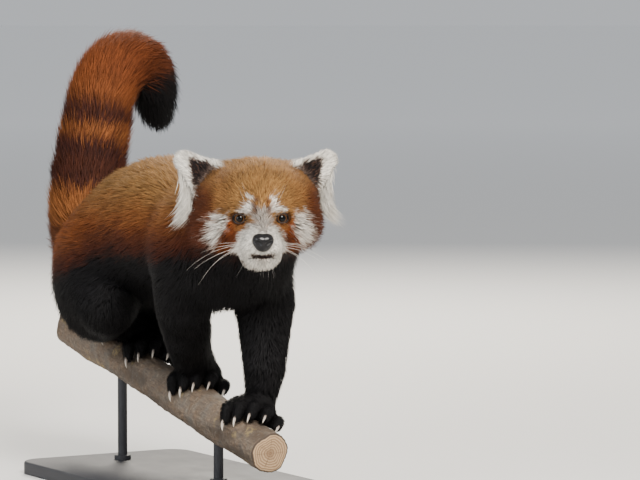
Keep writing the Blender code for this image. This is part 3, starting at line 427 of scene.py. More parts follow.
def outward(p, field, step=0.0008):
    """The direction in which a field grows at points p."""
    ways = np.array(((1, 1, 1), (1, -1, -1), (-1, 1, -1), (-1, -1, 1)))
    return unit(sum(way * field(p + step * way)[:, None] for way in ways))


def settled(p, field, height):
    """Points p moved to where the field has this value, and the way out there."""
    way = outward(p, field)
    return p + way * (height - field(p))[:, None], way


def tail_station(p):
    """How far along the tail points p are, and its direction and middle there."""
    line = np.array([place for place, _ in TAIL_LINE])
    middle, run = (line[1:] + line[:-1]) / 2, np.diff(line, axis=0)
    length = np.linalg.norm(run, axis=1)
    start = np.cumsum(length) - length
    nearest = np.concatenate([
        np.argmin(((part[:, None] - middle[None]) ** 2).sum(2), axis=1) for part in np.array_split(p, 1 + len(p) // 20000)
    ])
    way = run[nearest] / length[nearest, None]
    ahead = ((p - line[nearest]) * way).sum(1)
    return start[nearest] + ahead, way, line[nearest] + way * ahead[:, None]


def regions(p):
    """How far points p belong to each region of the coat, from 0 to 1."""
    q = in_head(p)
    half = mirrored(q)
    bone_head, body = skull(q), np.minimum(torso(p), neck(p))
    ears = ear(half)
    limbs = np.minimum.reduce([chain(p, leg_joints(name)) for name in FEET])
    shares = (
        ("foot", ramp(above_perch(p), 0.034, 0.022)),
        ("tail", ramp(tail(p) - torso(p), 0.002, -0.012)),
        ("ear", ramp(ears - bone_head, 0.0015, -0.0025) * ramp(half[:, 0], 0.038, 0.046) * ramp(ears, 0.016, 0.008)),
        ("face", ramp(bareness(q), 0.036, 0.016) * ramp(q[:, 1], -0.012, -0.024) * ramp(q[:, 2], -0.082, -0.072)),
        ("head", ramp(bone_head - body, 0.008, -0.008) * ramp(bone_head, 0.022, 0.010)),
        ("leg", np.maximum(ramp(limbs - torso(p), 0.004, -0.010), ramp(p[:, 2], 0.118, 0.096))),
    )
    weights, rest = {}, np.ones(len(p))
    for name, share in shares:
        weights[name] = rest * share
        rest = rest * (1 - share)
    weights["torso"] = rest
    return weights


def ripple(p, size, seed):
    """Smooth waves of this size over points p, mostly between -1 and 1."""
    dice = np.random.default_rng(seed)
    total = np.zeros(len(p))
    for _ in range(6):
        way = unit(dice.normal(size=3)) * dice.uniform(0.6, 1.6) * math.tau / size
        total += np.sin(p @ way + dice.uniform(0, math.tau))
    return total / 2.8


def lie(p, weights):
    """The way the coat runs at points p: from the nose back over the body, down the legs, out along tail and ears."""
    flow = np.tile((0.0, 1.0, -0.42), (len(p), 1))
    for share, way in (
        (ramp(p[:, 2], 0.150, 0.090), (0.0, 0.30, -1.0)),
        (ramp(p[:, 1], -0.085, -0.125), (0.0, 0.25, -1.0)),
    ):
        flow += (np.array(way) - flow) * share[:, None]
    flow += (perch_axis() + (0, 0, -0.45) - flow) * weights["foot"][:, None]
    q = in_head(p)
    half = mirrored(q)
    from_nose = (q - (0, -0.075, -0.030)) * (1, 1, 0.8) + (0, 0, -0.010)
    on_head = weights["head"] + weights["face"]
    flow += ((from_nose @ head_turn().T) / 0.08 - flow) * np.minimum(on_head, 1)[:, None]
    local = in_ear(half)
    across, up, _ = ear_axes()
    fan = across * (local[:, 0] - 0.004)[:, None] + up * (local[:, 1] + 0.014)[:, None]
    fan = unit(fan) + np.array((0, 0, -1.3)) * ramp(local[:, 0], -0.003, -0.018)[:, None]
    fan[:, 0] *= np.where(q[:, 0] < 0, -1, 1)
    flow += (unit(fan) @ head_turn().T - flow) * weights["ear"][:, None]
    _, along, _ = tail_station(p)
    flow += (along - flow) * weights["tail"][:, None]
    return unit(flow)


def soft_edge(distance, wave, softness=0.0030):
    """1 inside a patch and 0 outside, with a frayed edge."""
    return ramp(distance + wave, softness, -softness)


def patch(flat, corners):
    """Distance from a flat patch with straight sides; its corners run clockwise."""
    corners = np.array(corners)
    run = np.roll(corners, -1, axis=0) - corners
    out = unit(np.column_stack((-run[:, 1], run[:, 0])))
    return np.max([(flat - corner) @ way for corner, way in zip(corners, out)], axis=0)


def face_white(half, wave):
    """The white of the brow spots, cheeks, muzzle and chin."""
    brow = chain(half, (((0.0158, -0.046, 0.0090), 0.0036), ((0.0160, -0.047, -0.0015), 0.0054)))
    brow = np.minimum(brow, chain(half, (((0.0170, -0.046, -0.0010), 0.0052), ((0.0262, -0.040, -0.0064), 0.0024))))
    brow = np.where(half[:, 1] < -0.020, brow, 0.1)
    front = half[:, [0, 2]]
    cheek = patch(front, ((0.0425, -0.0110), (0.0570, -0.0100), (0.0625, -0.0220), (0.0650, -0.0420), (0.0545, -0.0510),
                          (0.0425, -0.0260)))
    cheek = np.maximum(cheek, half[:, 1] - 0.004)
    muzzle = patch(front, ((-0.005, -0.0150), (0.0090, -0.0160), (0.0150, -0.0220), (0.0250, -0.0262), (0.0300, -0.0340),
                           (0.0310, -0.0480), (0.0335, -0.0560), (0.0260, -0.0640), (0.0150, -0.0760), (-0.005, -0.0780)))
    muzzle = np.maximum(muzzle, half[:, 1] + 0.008)
    return np.maximum.reduce([soft_edge(brow, wave * 0.003, 0.0036) * 0.88, soft_edge(cheek, wave * 0.004, 0.0050) * 0.94,
                              soft_edge(muzzle, wave * 0.002)])


def ear_colours(half):
    """White, black, rust and maroon shares of the ears: a pale rim, a dark cup, browner below, and a dark rust back."""
    local = in_ear(half)
    front = ramp(local[:, 2] - ear_fold(local), -0.0015, 0.0010)
    cup = patch(local[:, :2], ((-0.0240, 0.0020), (-0.0148, 0.0125), (-0.0050, 0.0255), (0.0062, 0.0350), (0.0160, 0.0145),
                               (0.0170, 0.0040), (0.0060, -0.0080), (-0.0200, -0.0080)))
    wave = ripple(half, 0.008, 13)
    dark = ramp(cup + 0.0014 * wave, 0.0026, -0.0020) * front
    deep = ramp(local[:, 1] + 0.002 * wave, 0.002, 0.014)
    back = ramp(ear_outline(local, 0.0062), 0.002, -0.002) * (1 - front)
    low = ramp(local[:, 1], 0.010, -0.002)
    white = np.clip(1 - dark * (0.70 + 0.24 * deep + 0.20 * low) - back, 0, 1)
    return white, dark * (0.46 + 0.50 * deep) + 0.35 * back, 0.5 + 0 * dark, 0.5 + 0.3 * low


def body_colours(p, wave, fine):
    """White, black, maroon, gold and rust shares over torso and legs: golden back, russet flanks, black below."""
    edge = np.interp(p[:, 1], (-0.16, -0.11, -0.06, 0.05, 0.12, 0.16, 0.22, 0.27),
                     (0.166, 0.166, 0.156, 0.158, 0.150, 0.128, 0.112, 0.100))
    height = p[:, 2] + 0.005 * wave + 0.002 * fine
    black = ramp(height, edge + 0.010, edge - 0.010)
    return 0 * black, black, 0.90 * ramp(height, edge + 0.058, edge + 0.004), ramp(height, 0.182, 0.256), 0 * black


def tail_colours(station, wave):
    """White, black, maroon, gold and rust shares along the tail: rings, then a red bend and a black tip."""
    station = station + 0.003 * wave
    rings = np.interp(station, *zip(*TAIL_RINGS))
    gold = np.interp(station, *zip(*TAIL_GOLD))
    black = np.maximum(ramp(station, 0.380, 0.415), 0.30 * rings**2)
    return 0 * rings, black, rings, gold, 0.25 + 0.45 * ramp(station, 0.27, 0.33)


def head_colours(q, fine):
    """White, black, maroon, gold and rust shares of the head without its ears."""
    half = mirrored(q)
    beside = ramp(half[:, 0], 0.050, 0.066) * ramp(q[:, 2], 0.034, 0.006)
    behind = np.maximum(ramp(half[:, 1], -0.014, 0.010) * ramp(q[:, 2], 0.012, -0.020), beside)
    below = ramp(q[:, 2] - 0.15 * half[:, 1], -0.050, -0.062)
    outer = ramp(half[:, 0], 0.022, 0.050)
    colours = np.stack((0 * fine, below, 0.6 * behind + 0.15 * ramp(q[:, 2], 0.026, 0.044) + 0.12 * outer,
                        ramp(q[:, 2], -0.044, -0.004) * (1 - 0.6 * behind) * (1 - 0.25 * outer), 0.45 * behind), axis=1)

    def put(weight, white=0.0, black=0.0, maroon=0.0, gold=0.0, rust=0.0):
        return colours + (np.array((white, black, maroon, gold, rust)) - colours) * weight[:, None]

    ahead = ramp(q[:, 1], -0.006, -0.020)
    front = half[:, [0, 2]]
    tear = patch(front, ((0.0320, -0.0200), (0.0385, -0.0165), (0.0435, -0.0235), (0.0545, -0.0460),
                         (0.0500, -0.0580), (0.0310, -0.0520), (0.0300, -0.0330)))
    colours = put(soft_edge(tear, fine * 0.0020) * ahead, rust=1.0, maroon=0.10)
    colours = put(soft_edge(tear, fine * 0.0020) * ahead * ramp(q[:, 2], -0.026, -0.042), rust=0.8, maroon=0.6)
    under = blob(half, EYE + (0.002, -0.006, -0.0075), (0.0085, 0.009, 0.0055))
    colours = put(soft_edge(under, fine * 0.001), rust=0.35, gold=0.9)
    colours = put(face_white(half, fine), white=1.0)
    bridge = patch(front, ((-0.005, 0.0000), (0.0085, 0.0000), (0.0125, -0.0100), (0.0110, -0.0210),
                           (0.0050, -0.0290), (-0.005, -0.0300)))
    colours = put(soft_edge(bridge, fine * 0.003, 0.0050) * ahead * 0.9, white=0.75, black=0.58, gold=0.4)
    frown = bone(half, (0.0070, -0.050, 0.0100), (0.0100, -0.050, -0.0050), 0.0022, 0.0034)
    colours = put(soft_edge(frown, fine * 0.001, 0.0026) * 0.8, black=0.60, maroon=0.5)
    colours = put(ramp(lid_edge(half), 0.0024, 0.0012) * ahead, black=1.0)
    shade = blob(half, (0, -0.050, -0.0630), (0.0120, 0.02, 0.0026))
    colours = put(soft_edge(shade, fine * 0.001) * 0.45, white=0.5, black=0.6)
    lips = patch(front, ((-0.001, -0.0575), (0.0135, -0.0562), (0.0150, -0.0572), (0.0090, -0.0604), (-0.001, -0.0614)))
    colours = put(ramp(lips, 0.0014, -0.0005) * ramp(q[:, 1], -0.030, -0.036), black=0.94)
    parting = bone(half, (0, -0.066, -0.0500), (0, -0.062, -0.0580), 0.0005, 0.0008)
    return put(ramp(parting, 0.0016, 0.0002) * 0.7, black=0.9)


def markings(p, weights):
    """Shares of white, black and maroon, then of gold and rust, at points p of the coat."""
    q = in_head(p)
    wave, fine = ripple(p, 0.030, 11), ripple(p, 0.009, 12)
    colours = np.stack(body_colours(p, wave, fine), axis=1)
    station, _, _ = tail_station(p)
    on_tail = np.stack(tail_colours(station, wave), axis=1)
    colours += (on_tail - colours) * weights["tail"][:, None]
    on_head = np.minimum(weights["head"] + weights["face"], 1)
    colours += (head_colours(q, fine) - colours) * on_head[:, None]
    white, black, rust, maroon = ear_colours(mirrored(q))
    on_ear = np.stack((white, black, maroon, 0.3 + 0 * white, rust), axis=1)
    colours += (on_ear - colours) * weights["ear"][:, None]
    colours = np.clip(colours, 0, 1)
    return colours[:, :3], colours[:, 3:]


# Shapes from numbers


def graded(*stretches):
    """Grid lines through (start, end, step) stretches, each with its own step."""
    lines = np.concatenate([np.arange(a, b, step) for a, b, step in stretches])
    step = lines[-1] - lines[-2]
    spare = (1 - len(lines)) % 3
    return np.append(lines, lines[-1] + step * np.arange(1, spare + 1))


def between(coarse, axis, count):
    """Values on a grid three times as fine along an axis, on straight lines between the coarse ones."""
    place = np.arange(count) / 3
    low = np.minimum(place.astype(int), coarse.shape[axis] - 2)
    share = (place - low).reshape([count if i == axis else 1 for i in range(3)])
    return np.take(coarse, low, axis) * (1 - share) + np.take(coarse, low + 1, axis) * share


def sampled(field, axes, reach=0.009):
    """The field on a grid, worked out in full only near its surface."""
    rough = [a[::3] for a in axes]
    grid = np.stack(np.meshgrid(*rough, indexing="ij"), axis=-1).reshape(-1, 3)
    value = np.concatenate([field(part) for part in np.array_split(grid, 1 + len(grid) // 60000)])
    value = value.reshape([len(a) for a in rough])
    for axis in range(3):
        value = between(value, axis, len(axes[axis]))
    near = np.nonzero(np.abs(value) < reach)
    p = np.stack([axes[axis][near[axis]] for axis in range(3)], axis=1)
    value[near] = np.concatenate([field(part) for part in np.array_split(p, 1 + len(p) // 60000)])
    for axis in range(3):
        ends = np.moveaxis(value, axis, 0)
        ends[:2] = np.maximum(ends[:2], 0.001)
        ends[-2:] = np.maximum(ends[-2:], 0.001)
    return value


def surface_net(field, axes):
    """A closed mesh of the surface where field is 0, on a grid of these lines: points and four-sided faces."""
    value = sampled(field, axes)
    shape = value.shape
    corners = [np.array(c) for c in np.ndindex(2, 2, 2)]
    cut = [value[c[0] : shape[0] - 1 + c[0], c[1] : shape[1] - 1 + c[1], c[2] : shape[2] - 1 + c[2]] for c in corners]
    count_inside = sum((c < 0).astype(np.int8) for c in cut)
    cells = np.argwhere((count_inside > 0) & (count_inside < 8))
    number = -np.ones(tuple(n - 1 for n in shape), np.int32)
    number[tuple(cells.T)] = np.arange(len(cells))
    held = [c[tuple(cells.T)] for c in cut]
    total, count = np.zeros((len(cells), 3)), np.zeros(len(cells))
    for i, a in enumerate(corners):
        for j, b in enumerate(corners):
            if j <= i or np.abs(a - b).sum() != 1:
                continue
            crosses = (held[i] < 0) != (held[j] < 0)
            share = np.where(crosses, held[i] / np.where(crosses, held[i] - held[j], 1), 0)
            total += np.where(crosses[:, None], a + share[:, None] * (b - a), 0)
            count += crosses
    place = cells + total / count[:, None]
    points = np.stack([np.interp(place[:, axis], np.arange(shape[axis]), axes[axis]) for axis in range(3)], axis=1)
    faces = []
    for axis in range(3):
        one, two = (axis + 1) % 3, (axis + 2) % 3
        near = np.take(value, range(shape[axis] - 1), axis) < 0
        far = np.take(value, range(1, shape[axis]), axis) < 0
        edges = np.argwhere(near != far)
        ring = []
        for back_one, back_two in ((1, 1), (0, 1), (0, 0), (1, 0)):
            cell = edges.copy()
            cell[:, one] -= back_one
            cell[:, two] -= back_two
            ring.append(number[tuple(cell.T)])
        ring = np.stack(ring, axis=1)
        turned = ~near[tuple(edges.T)]
        ring[turned] = ring[turned][:, ::-1]
        faces.append(ring)
    return points, np.concatenate(faces)


def piece(name, points, corners, starts, material, stands_for=()):
    """A smooth mesh that rides on the body, from its points, the corners of its faces and where each face starts."""
    mesh = bpy.data.meshes.new(name)
    points = np.asarray(points, np.float32).reshape(-1, 3)
    mesh.vertices.add(len(points))
    mesh.vertices.foreach_set("co", points.ravel())
    mesh.loops.add(len(corners))
    mesh.loops.foreach_set("vertex_index", np.asarray(corners, np.int32))
    mesh.polygons.add(len(starts))
    mesh.polygons.foreach_set("loop_start", np.asarray(starts, np.int32))
    mesh.update(calc_edges=True)
    mesh.validate()
    mesh.shade_smooth()
    if material:
        mesh.materials.append(material)
    obj = bpy.data.objects.new(name, mesh)
    bpy.context.scene.collection.objects.link(obj)
    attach(obj, "root")
    if stands_for:
        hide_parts(*stands_for)
    return obj


def quads_piece(name, points, faces, material, stands_for=()):
    return piece(name, points, faces.ravel(), np.arange(0, faces.size, 4), material, stands_for)


def listed_piece(name, points, faces, material, stands_for=()):
    """A piece from a plain list of faces with any number of corners."""
    starts = np.cumsum([0] + [len(face) for face in faces[:-1]])
    return piece(name, points, np.concatenate([np.array(face) for face in faces]), starts, material, stands_for)


def give(obj, name, values):
    """Stores values on the piece's points for its material: one number each, or three."""
    values = np.asarray(values, np.float32)
    kind, key = ("FLOAT", "value") if values.ndim == 1 else ("FLOAT_VECTOR", "vector")
    obj.data.attributes.new(name, kind, "POINT").data.foreach_set(key, values.ravel())


def tube(centres, radii, sides):
    """Points and faces of a closed tube through centres, each with its own radius."""
    centres = np.array(centres, float)
    ways = unit(np.gradient(centres, axis=0))
    start = np.cross(ways[0], (0.3, 0.2, 1.0))
    points, faces = [], []
    for centre, way, radius in zip(centres, ways, radii):
        one = unit(start - way * (start @ way))
        two = np.cross(way, one)
        angles = np.arange(sides) * math.tau / sides
        points += list(centre + radius * (np.cos(angles)[:, None] * one + np.sin(angles)[:, None] * two))
    for k in range(len(centres) - 1):
        for s in range(sides):
            a, b = k * sides + s, k * sides + (s + 1) % sides
            faces.append((a, b, b + sides, a + sides))
    faces.append(tuple(range(sides))[::-1])
    faces.append(tuple(range(len(points) - sides, len(points))))
    return points, faces


def joined(parts):
    """Several lists of points and faces as one."""
    points, faces = [], []
    for some_points, some_faces in parts:
        faces += [tuple(i + len(points) for i in face) for face in some_faces]
        points += list(some_points)
    return points, faces


# Materials


class Tree:
    """A node tree being built: its nodes are made and linked by short calls."""

    def __init__(self, tree):
        self.tree = tree

    def node(self, kind, inputs=(), **settings):
        made = self.tree.nodes.new(kind)
        for name, value in settings.items():
            setattr(made, name, value)
        for key, value in dict(inputs).items():
            if isinstance(value, bpy.types.NodeSocket):
                self.tree.links.new(value, made.inputs[key])
            else:
                made.inputs[key].default_value = value
        return made

    def mix(self, share, one, two, blend="MIX"):
        made = self.node("ShaderNodeMix", data_type="RGBA", blend_type=blend)
        for socket, value in ((made.inputs[0], share), (made.inputs[6], one), (made.inputs[7], two)):
            if isinstance(value, bpy.types.NodeSocket):
                self.tree.links.new(value, socket)
            else:
                socket.default_value = value
        return made.outputs[2]

    def math(self, kind, *values, clamp=False):
        return self.node("ShaderNodeMath", {i: v for i, v in enumerate(values)}, operation=kind, use_clamp=clamp).outputs[0]

    def ramp(self, value, *stops):
        """A colour ramp through (place, colour) stops; a plain number is a grey."""
        made = self.node("ShaderNodeValToRGB", {0: value})
        elements = made.color_ramp.elements
        for place, colour in stops:
            shown = (*((colour,) * 3 if isinstance(colour, (int, float)) else colour), 1)
            if place in (stops[0][0], stops[-1][0]):
                element = elements[0 if place == stops[0][0] else len(elements) - 1]
                element.position = place
            else:
                element = elements.new(place)
            element.color = shown
        return made.outputs[0]

    def attribute(self, name, vector=False):
        made = self.node("ShaderNodeAttribute", attribute_name=name, attribute_type="GEOMETRY")
        return made.outputs["Vector" if vector else "Fac"]

    def noise(self, scale, detail=4.0, roughness=0.55, vector=None, output="Fac"):
        inputs = {"Scale": scale, "Detail": detail, "Roughness": roughness}
        if vector is not None:
            inputs["Vector"] = vector
        return self.node("ShaderNodeTexNoise", inputs).outputs[output]

    def bump(self, height, strength, distance):
        return self.node("ShaderNodeBump", {"Height": height, "Strength": strength, "Distance": distance}).outputs[0]


def new_material(name, colour=(0.5, 0.5, 0.5), **sockets):
    """A material with one Principled shader: its Tree and the shader node."""
    made = bpy.data.materials.new(name)
    made.use_nodes = True
    made.diffuse_color = (*colour, 1)
    shader = made.node_tree.nodes["Principled BSDF"]
    shader.inputs["Base Color"].default_value = (*colour, 1)
    for key, value in sockets.items():
        shader.inputs[key.replace("_", " ")].default_value = value
    return made, Tree(made.node_tree), shader


def new_group(name, inputs, outputs):
    """An empty shader node group with these sockets, as a Tree with its two end nodes."""
    group = bpy.data.node_groups.new(name, "ShaderNodeTree")
    kinds = {"colour": "NodeSocketColor", "value": "NodeSocketFloat", "vector": "NodeSocketVector"}
    for socket, kind, default in inputs:
        made = group.interface.new_socket(socket, in_out="INPUT", socket_type=kinds[kind])
        made.default_value = default
    for socket, kind in outputs:
        group.interface.new_socket(socket, in_out="OUTPUT", socket_type=kinds[kind])
    tree = Tree(group)
    return group, tree, tree.node("NodeGroupInput").outputs, tree.node("NodeGroupOutput").inputs


def coat_colour_group(colours):
    """The coat's colour from its markings, with painted shade towards the tufts' roots: shared by the skin and every
    tuft.
    """
    names = ("gold", "russet", "maroon", "black", "white", "rust")
    sockets = [(name.title(), "colour", (*getattr(colours, name), 1)) for name in names]
    sockets += [("Marks", "vector", (0, 0, 0)), ("Tone", "vector", (0, 0, 0)), ("Along", "value", 0.5)]
    group, tree, ins, outs = new_group("Coat colour", sockets, [("Colour", "colour"), ("Roughness", "value")])
    marks = tree.node("ShaderNodeSeparateXYZ", {0: ins["Marks"]}).outputs
    tone = tree.node("ShaderNodeSeparateXYZ", {0: ins["Tone"]}).outputs
    tipped = tree.math("MULTIPLY", tone[0], tree.math("MULTIPLY_ADD", ins["Along"], 0.85, 0.35), clamp=True)
    colour = tree.mix(tipped, ins["Russet"], ins["Gold"])
    colour = tree.mix(marks[2], colour, ins["Maroon"])
    colour = tree.mix(tone[1], colour, tree.mix(marks[2], ins["Rust"], ins["Maroon"]))
    colour = tree.mix(marks[0], colour, ins["White"])
    colour = tree.mix(marks[1], colour, ins["Black"])
    # Darker towards each tuft's root: painted shade deep in the coat. The third share of Tone varies it at random.
    light = tree.math("MULTIPLY_ADD", ins["Along"], 0.62, 0.52)
    light = tree.math("MULTIPLY", light, tree.math("MULTIPLY_ADD", tone[2], 0.88, 0.52))
    colour = tree.node("ShaderNodeVectorMath", {0: colour, "Scale": light}, operation="SCALE").outputs[0]
    tree.tree.links.new(colour, outs["Colour"])
    rough = tree.math("MULTIPLY_ADD", marks[1], -0.10, 0.72)
    tree.tree.links.new(rough, outs["Roughness"])
    return group


def coat_material(name, group, along, bump=None):
    made, tree, shader = new_material(name, (0.30, 0.12, 0.05))
    shader.inputs["Specular IOR Level"].default_value = 0.12
    used = tree.node("ShaderNodeGroup", node_tree=group)
    tree.tree.links.new(tree.attribute("marks", True), used.inputs["Marks"])
    tree.tree.links.new(tree.attribute("tone", True), used.inputs["Tone"])
    if along is None:
        tree.tree.links.new(tree.attribute("along"), used.inputs["Along"])
    else:
        used.inputs["Along"].default_value = along
    tree.tree.links.new(used.outputs["Colour"], shader.inputs["Base Color"])
    tree.tree.links.new(used.outputs["Roughness"], shader.inputs["Roughness"])
    if bump:
        tree.tree.links.new(tree.bump(tree.noise(900.0, 3.0), *bump), shader.inputs["Normal"])
    return made


def materials():
    """The materials of the coat, made once."""
    if "Coat" not in bpy.data.materials:
        group = coat_colour_group(bpy.context.scene.panda_colours)
        coat_material("Coat", group, None)
        # The skin takes the colour near the tufts' roots, with their painted shade.
        coat_material("Skin", group, 0.25, (0.5, 0.0006))
    return bpy.data.materials


# Pieces


def make_skin():
    """The skin, one closed surface that stands for every part of the body."""
    axes = (
        graded((-0.124, -0.080, 0.0024), (-0.080, 0.044, 0.00175), (0.044, 0.176, 0.0026)),
        graded((-0.276, -0.125, 0.0016), (-0.125, 0.400, 0.0048)),
        graded((-0.075, 0.060, 0.0026), (0.060, 0.145, 0.0044), (0.145, 0.300, 0.0016), (0.300, 0.446, 0.0050)),
    )
    points, faces = surface_net(skin, axes)
    flesh = [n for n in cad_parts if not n.startswith(("claw_", "eye_", "nose", "perch", "stand_"))]
    obj = quads_piece("skin", points + GRIP, faces, materials()["Skin"], flesh)
    weights = regions(points)
    marks, tone = markings(points, weights)
    give(obj, "marks", marks)
    give(obj, "tone", np.column_stack((tone, np.full(len(points), 0.3))))
    return obj


def tuft_faces(count):
    """Corners and starts of the faces of this many tufts of five points each."""
    faces = ((1, 2, 4), (2, 3, 4), (3, 1, 4), (2, 1, 0), (3, 2, 0), (1, 3, 0))
    corners = (np.arange(count)[:, None] * 5 + np.concatenate(faces)).ravel()
    return corners, np.arange(0, len(corners), 3)


def tuft_points(root, mid, tip, side, out, width):
    """Five points for each tuft: its root, a flat three-sided ring at its middle, and its tip."""
    wide, high = side * (width * 0.5)[:, None], out * (width * 0.34)[:, None]
    return np.stack((root, mid - wide, mid + wide, mid + high, tip), axis=1)


def unwrapped(p, kind):
    """Places from 0 to 1 on an unwrap of one region of the skin, for points p on it."""
    if kind == "tail":
        station, way, middle = tail_station(p)
        out = p - middle
        two = np.cross(way, (0, 1, 0))
        return np.column_stack((np.arctan2((out * two).sum(1), out[:, 1]) / math.tau + 0.5, station / 0.47 + 0.01))
    if kind in ("head", "face"):
        q = in_head(p) - (0, 0.0, -0.012)
        far = np.linalg.norm(q, axis=1)
        return np.column_stack((np.arctan2(q[:, 0], -q[:, 1]) / math.tau + 0.5, np.arcsin(q[:, 2] / far) / math.pi + 0.5))
    if kind == "ear":
        q = in_head(p)
        local = in_ear(mirrored(q))
        front = local[:, 2] > ear_fold(local)
        return np.column_stack(((local[:, 0] + 0.03) / 0.13 + 0.5 * (q[:, 0] > 0), (local[:, 1] + 0.04) / 0.25 + 0.5 * front))
    if kind in ("leg", "foot"):
        fields = np.stack([chain(p, leg_joints(name)) for name in FEET])
        which = np.argmin(fields, axis=0)
        centre = np.array([np.mean([place for place, _ in leg_joints(name)], axis=0) for name in FEET])[which]
        turn = np.arctan2(p[:, 0] - centre[:, 0], p[:, 1] - centre[:, 1]) / math.tau + 0.5
        return np.column_stack(((which + 0.02 + 0.96 * turn) / 4, (p[:, 2] + 0.04) / 0.23))
    turn = np.arctan2(p[:, 0], p[:, 2] - 0.175) / math.tau + 0.5
    return np.column_stack((turn, (p[:, 1] + 0.24) / 0.54))


def add_tufts(name, points, out, marks, tone, root_uv, soft):
    """One coat piece from the tufts' five points each, with their markings and their places on the unwrap."""
    count = len(points)
    corners, starts = tuft_faces(count)
    obj = piece(name, points.reshape(-1, 3) + GRIP, corners, starts, materials()["Coat"])
    give(obj, "marks", np.repeat(marks, 5, axis=0))
    give(obj, "tone", np.repeat(tone, 5, axis=0))
    give(obj, "along", np.tile((0, 0.5, 0.5, 0.5, 1.0), count))
    own_patch = np.array(((0, -1), (-1, 0.2), (1, 0.2), (0, 0.5), (0, 1.0))) * 0.0015
    uv = np.clip(root_uv, 0.004, 0.996)[:, None] + own_patch
    uv = uv.reshape(-1, 2)[corners].astype(np.float32)
    obj.data.uv_layers.new(name="OFBake").data.foreach_set("uv", uv.ravel())
    soften(obj, np.repeat(out, 5, axis=0), soft)
    return obj


def soften(obj, out, share):
    """Turns the tufts' shading partly the way the coat below them faces, so that they read as soft hair."""
    own = np.empty(len(out) * 3, np.float32)
    obj.data.vertex_normals.foreach_get("vector", own)
    blended_ways = unit(own.reshape(-1, 3) * (1 - share) + out * share)
    obj.data.normals_split_custom_set_from_vertices(blended_ways.astype(np.float32))


def sow(faces, wanted, dice):
    """Places of tufts over the faces, this many on each: their faces' corners and each corner's share."""
    total = np.cumsum(wanted)
    count = int(total[-1])
    picked = np.searchsorted(total, (np.arange(count) + dice.random(count)) * total[-1] / count)
    picked = np.minimum(picked, len(faces) - 1)
    u, v = dice.random((2, count))
    return faces[picked], np.stack(((1 - u) * (1 - v), u * (1 - v), u * v, (1 - u) * v), axis=1)


def coat_sizes(p, weights):
    """Distance between tufts, their length and width, and how far their tips stand off the form, at points p."""
    half = mirrored(in_head(p))
    sizes = sum(weight[:, None] * np.array(COAT[name]) for name, weight in weights.items())
    bare = bareness(in_head(p))
    on_head = weights["head"] + weights["face"]
    toe_ends = [toe_joints(name, toe)[2] for name in FEET for toe in TOES]
    from_toes = np.min([np.linalg.norm(p - end, axis=1) for end in toe_ends], axis=0)
    sizes[:, 1:4:2] *= (1 - weights["foot"] * (1 - ramp(from_toes, 0.002, 0.016) * 0.55 - 0.45))[:, None]
    sizes[:, 1] *= 1 - on_head * (1 - np.clip(0.34 + bare / 0.018, 0.3, 1))
    sizes[:, 3] *= 1 - on_head * (1 - np.clip(bare / 0.012, 0.12, 1))
    for share, longer, off in (
        (ramp(half[:, 1], -0.026, 0.000) * ramp(half[:, 2], 0.010, -0.020) * weights["head"], 0.45, 0.0035),
        (ramp(half[:, 2], 0.006, 0.030) * weights["head"], -0.25, 0.0),
        (ramp(ear_outline(in_ear(half)), -0.0060, -0.0010) * weights["ear"], 0.20, 0.0015),
        (ramp(half[:, 2], -0.0600, -0.0700) * on_head, 0.90, 0.0040),
    ):
        sizes[:, 1] *= 1 + longer * share
        sizes[:, 3] += off * share
    return sizes


def mesh_arrays(mesh):
    """A four-sided mesh's points from the grip, its normals and its faces."""
    points = np.empty(len(mesh.vertices) * 3, np.float32)
    mesh.vertices.foreach_get("co", points)
    normals = np.empty(len(points), np.float32)
    mesh.vertex_normals.foreach_get("vector", normals)
    faces = np.empty(len(mesh.polygons) * 4, np.int32)
    mesh.loops.foreach_get("vertex_index", faces)
    return points.reshape(-1, 3).astype(float) - GRIP, normals.reshape(-1, 3).astype(float), faces.reshape(-1, 4)


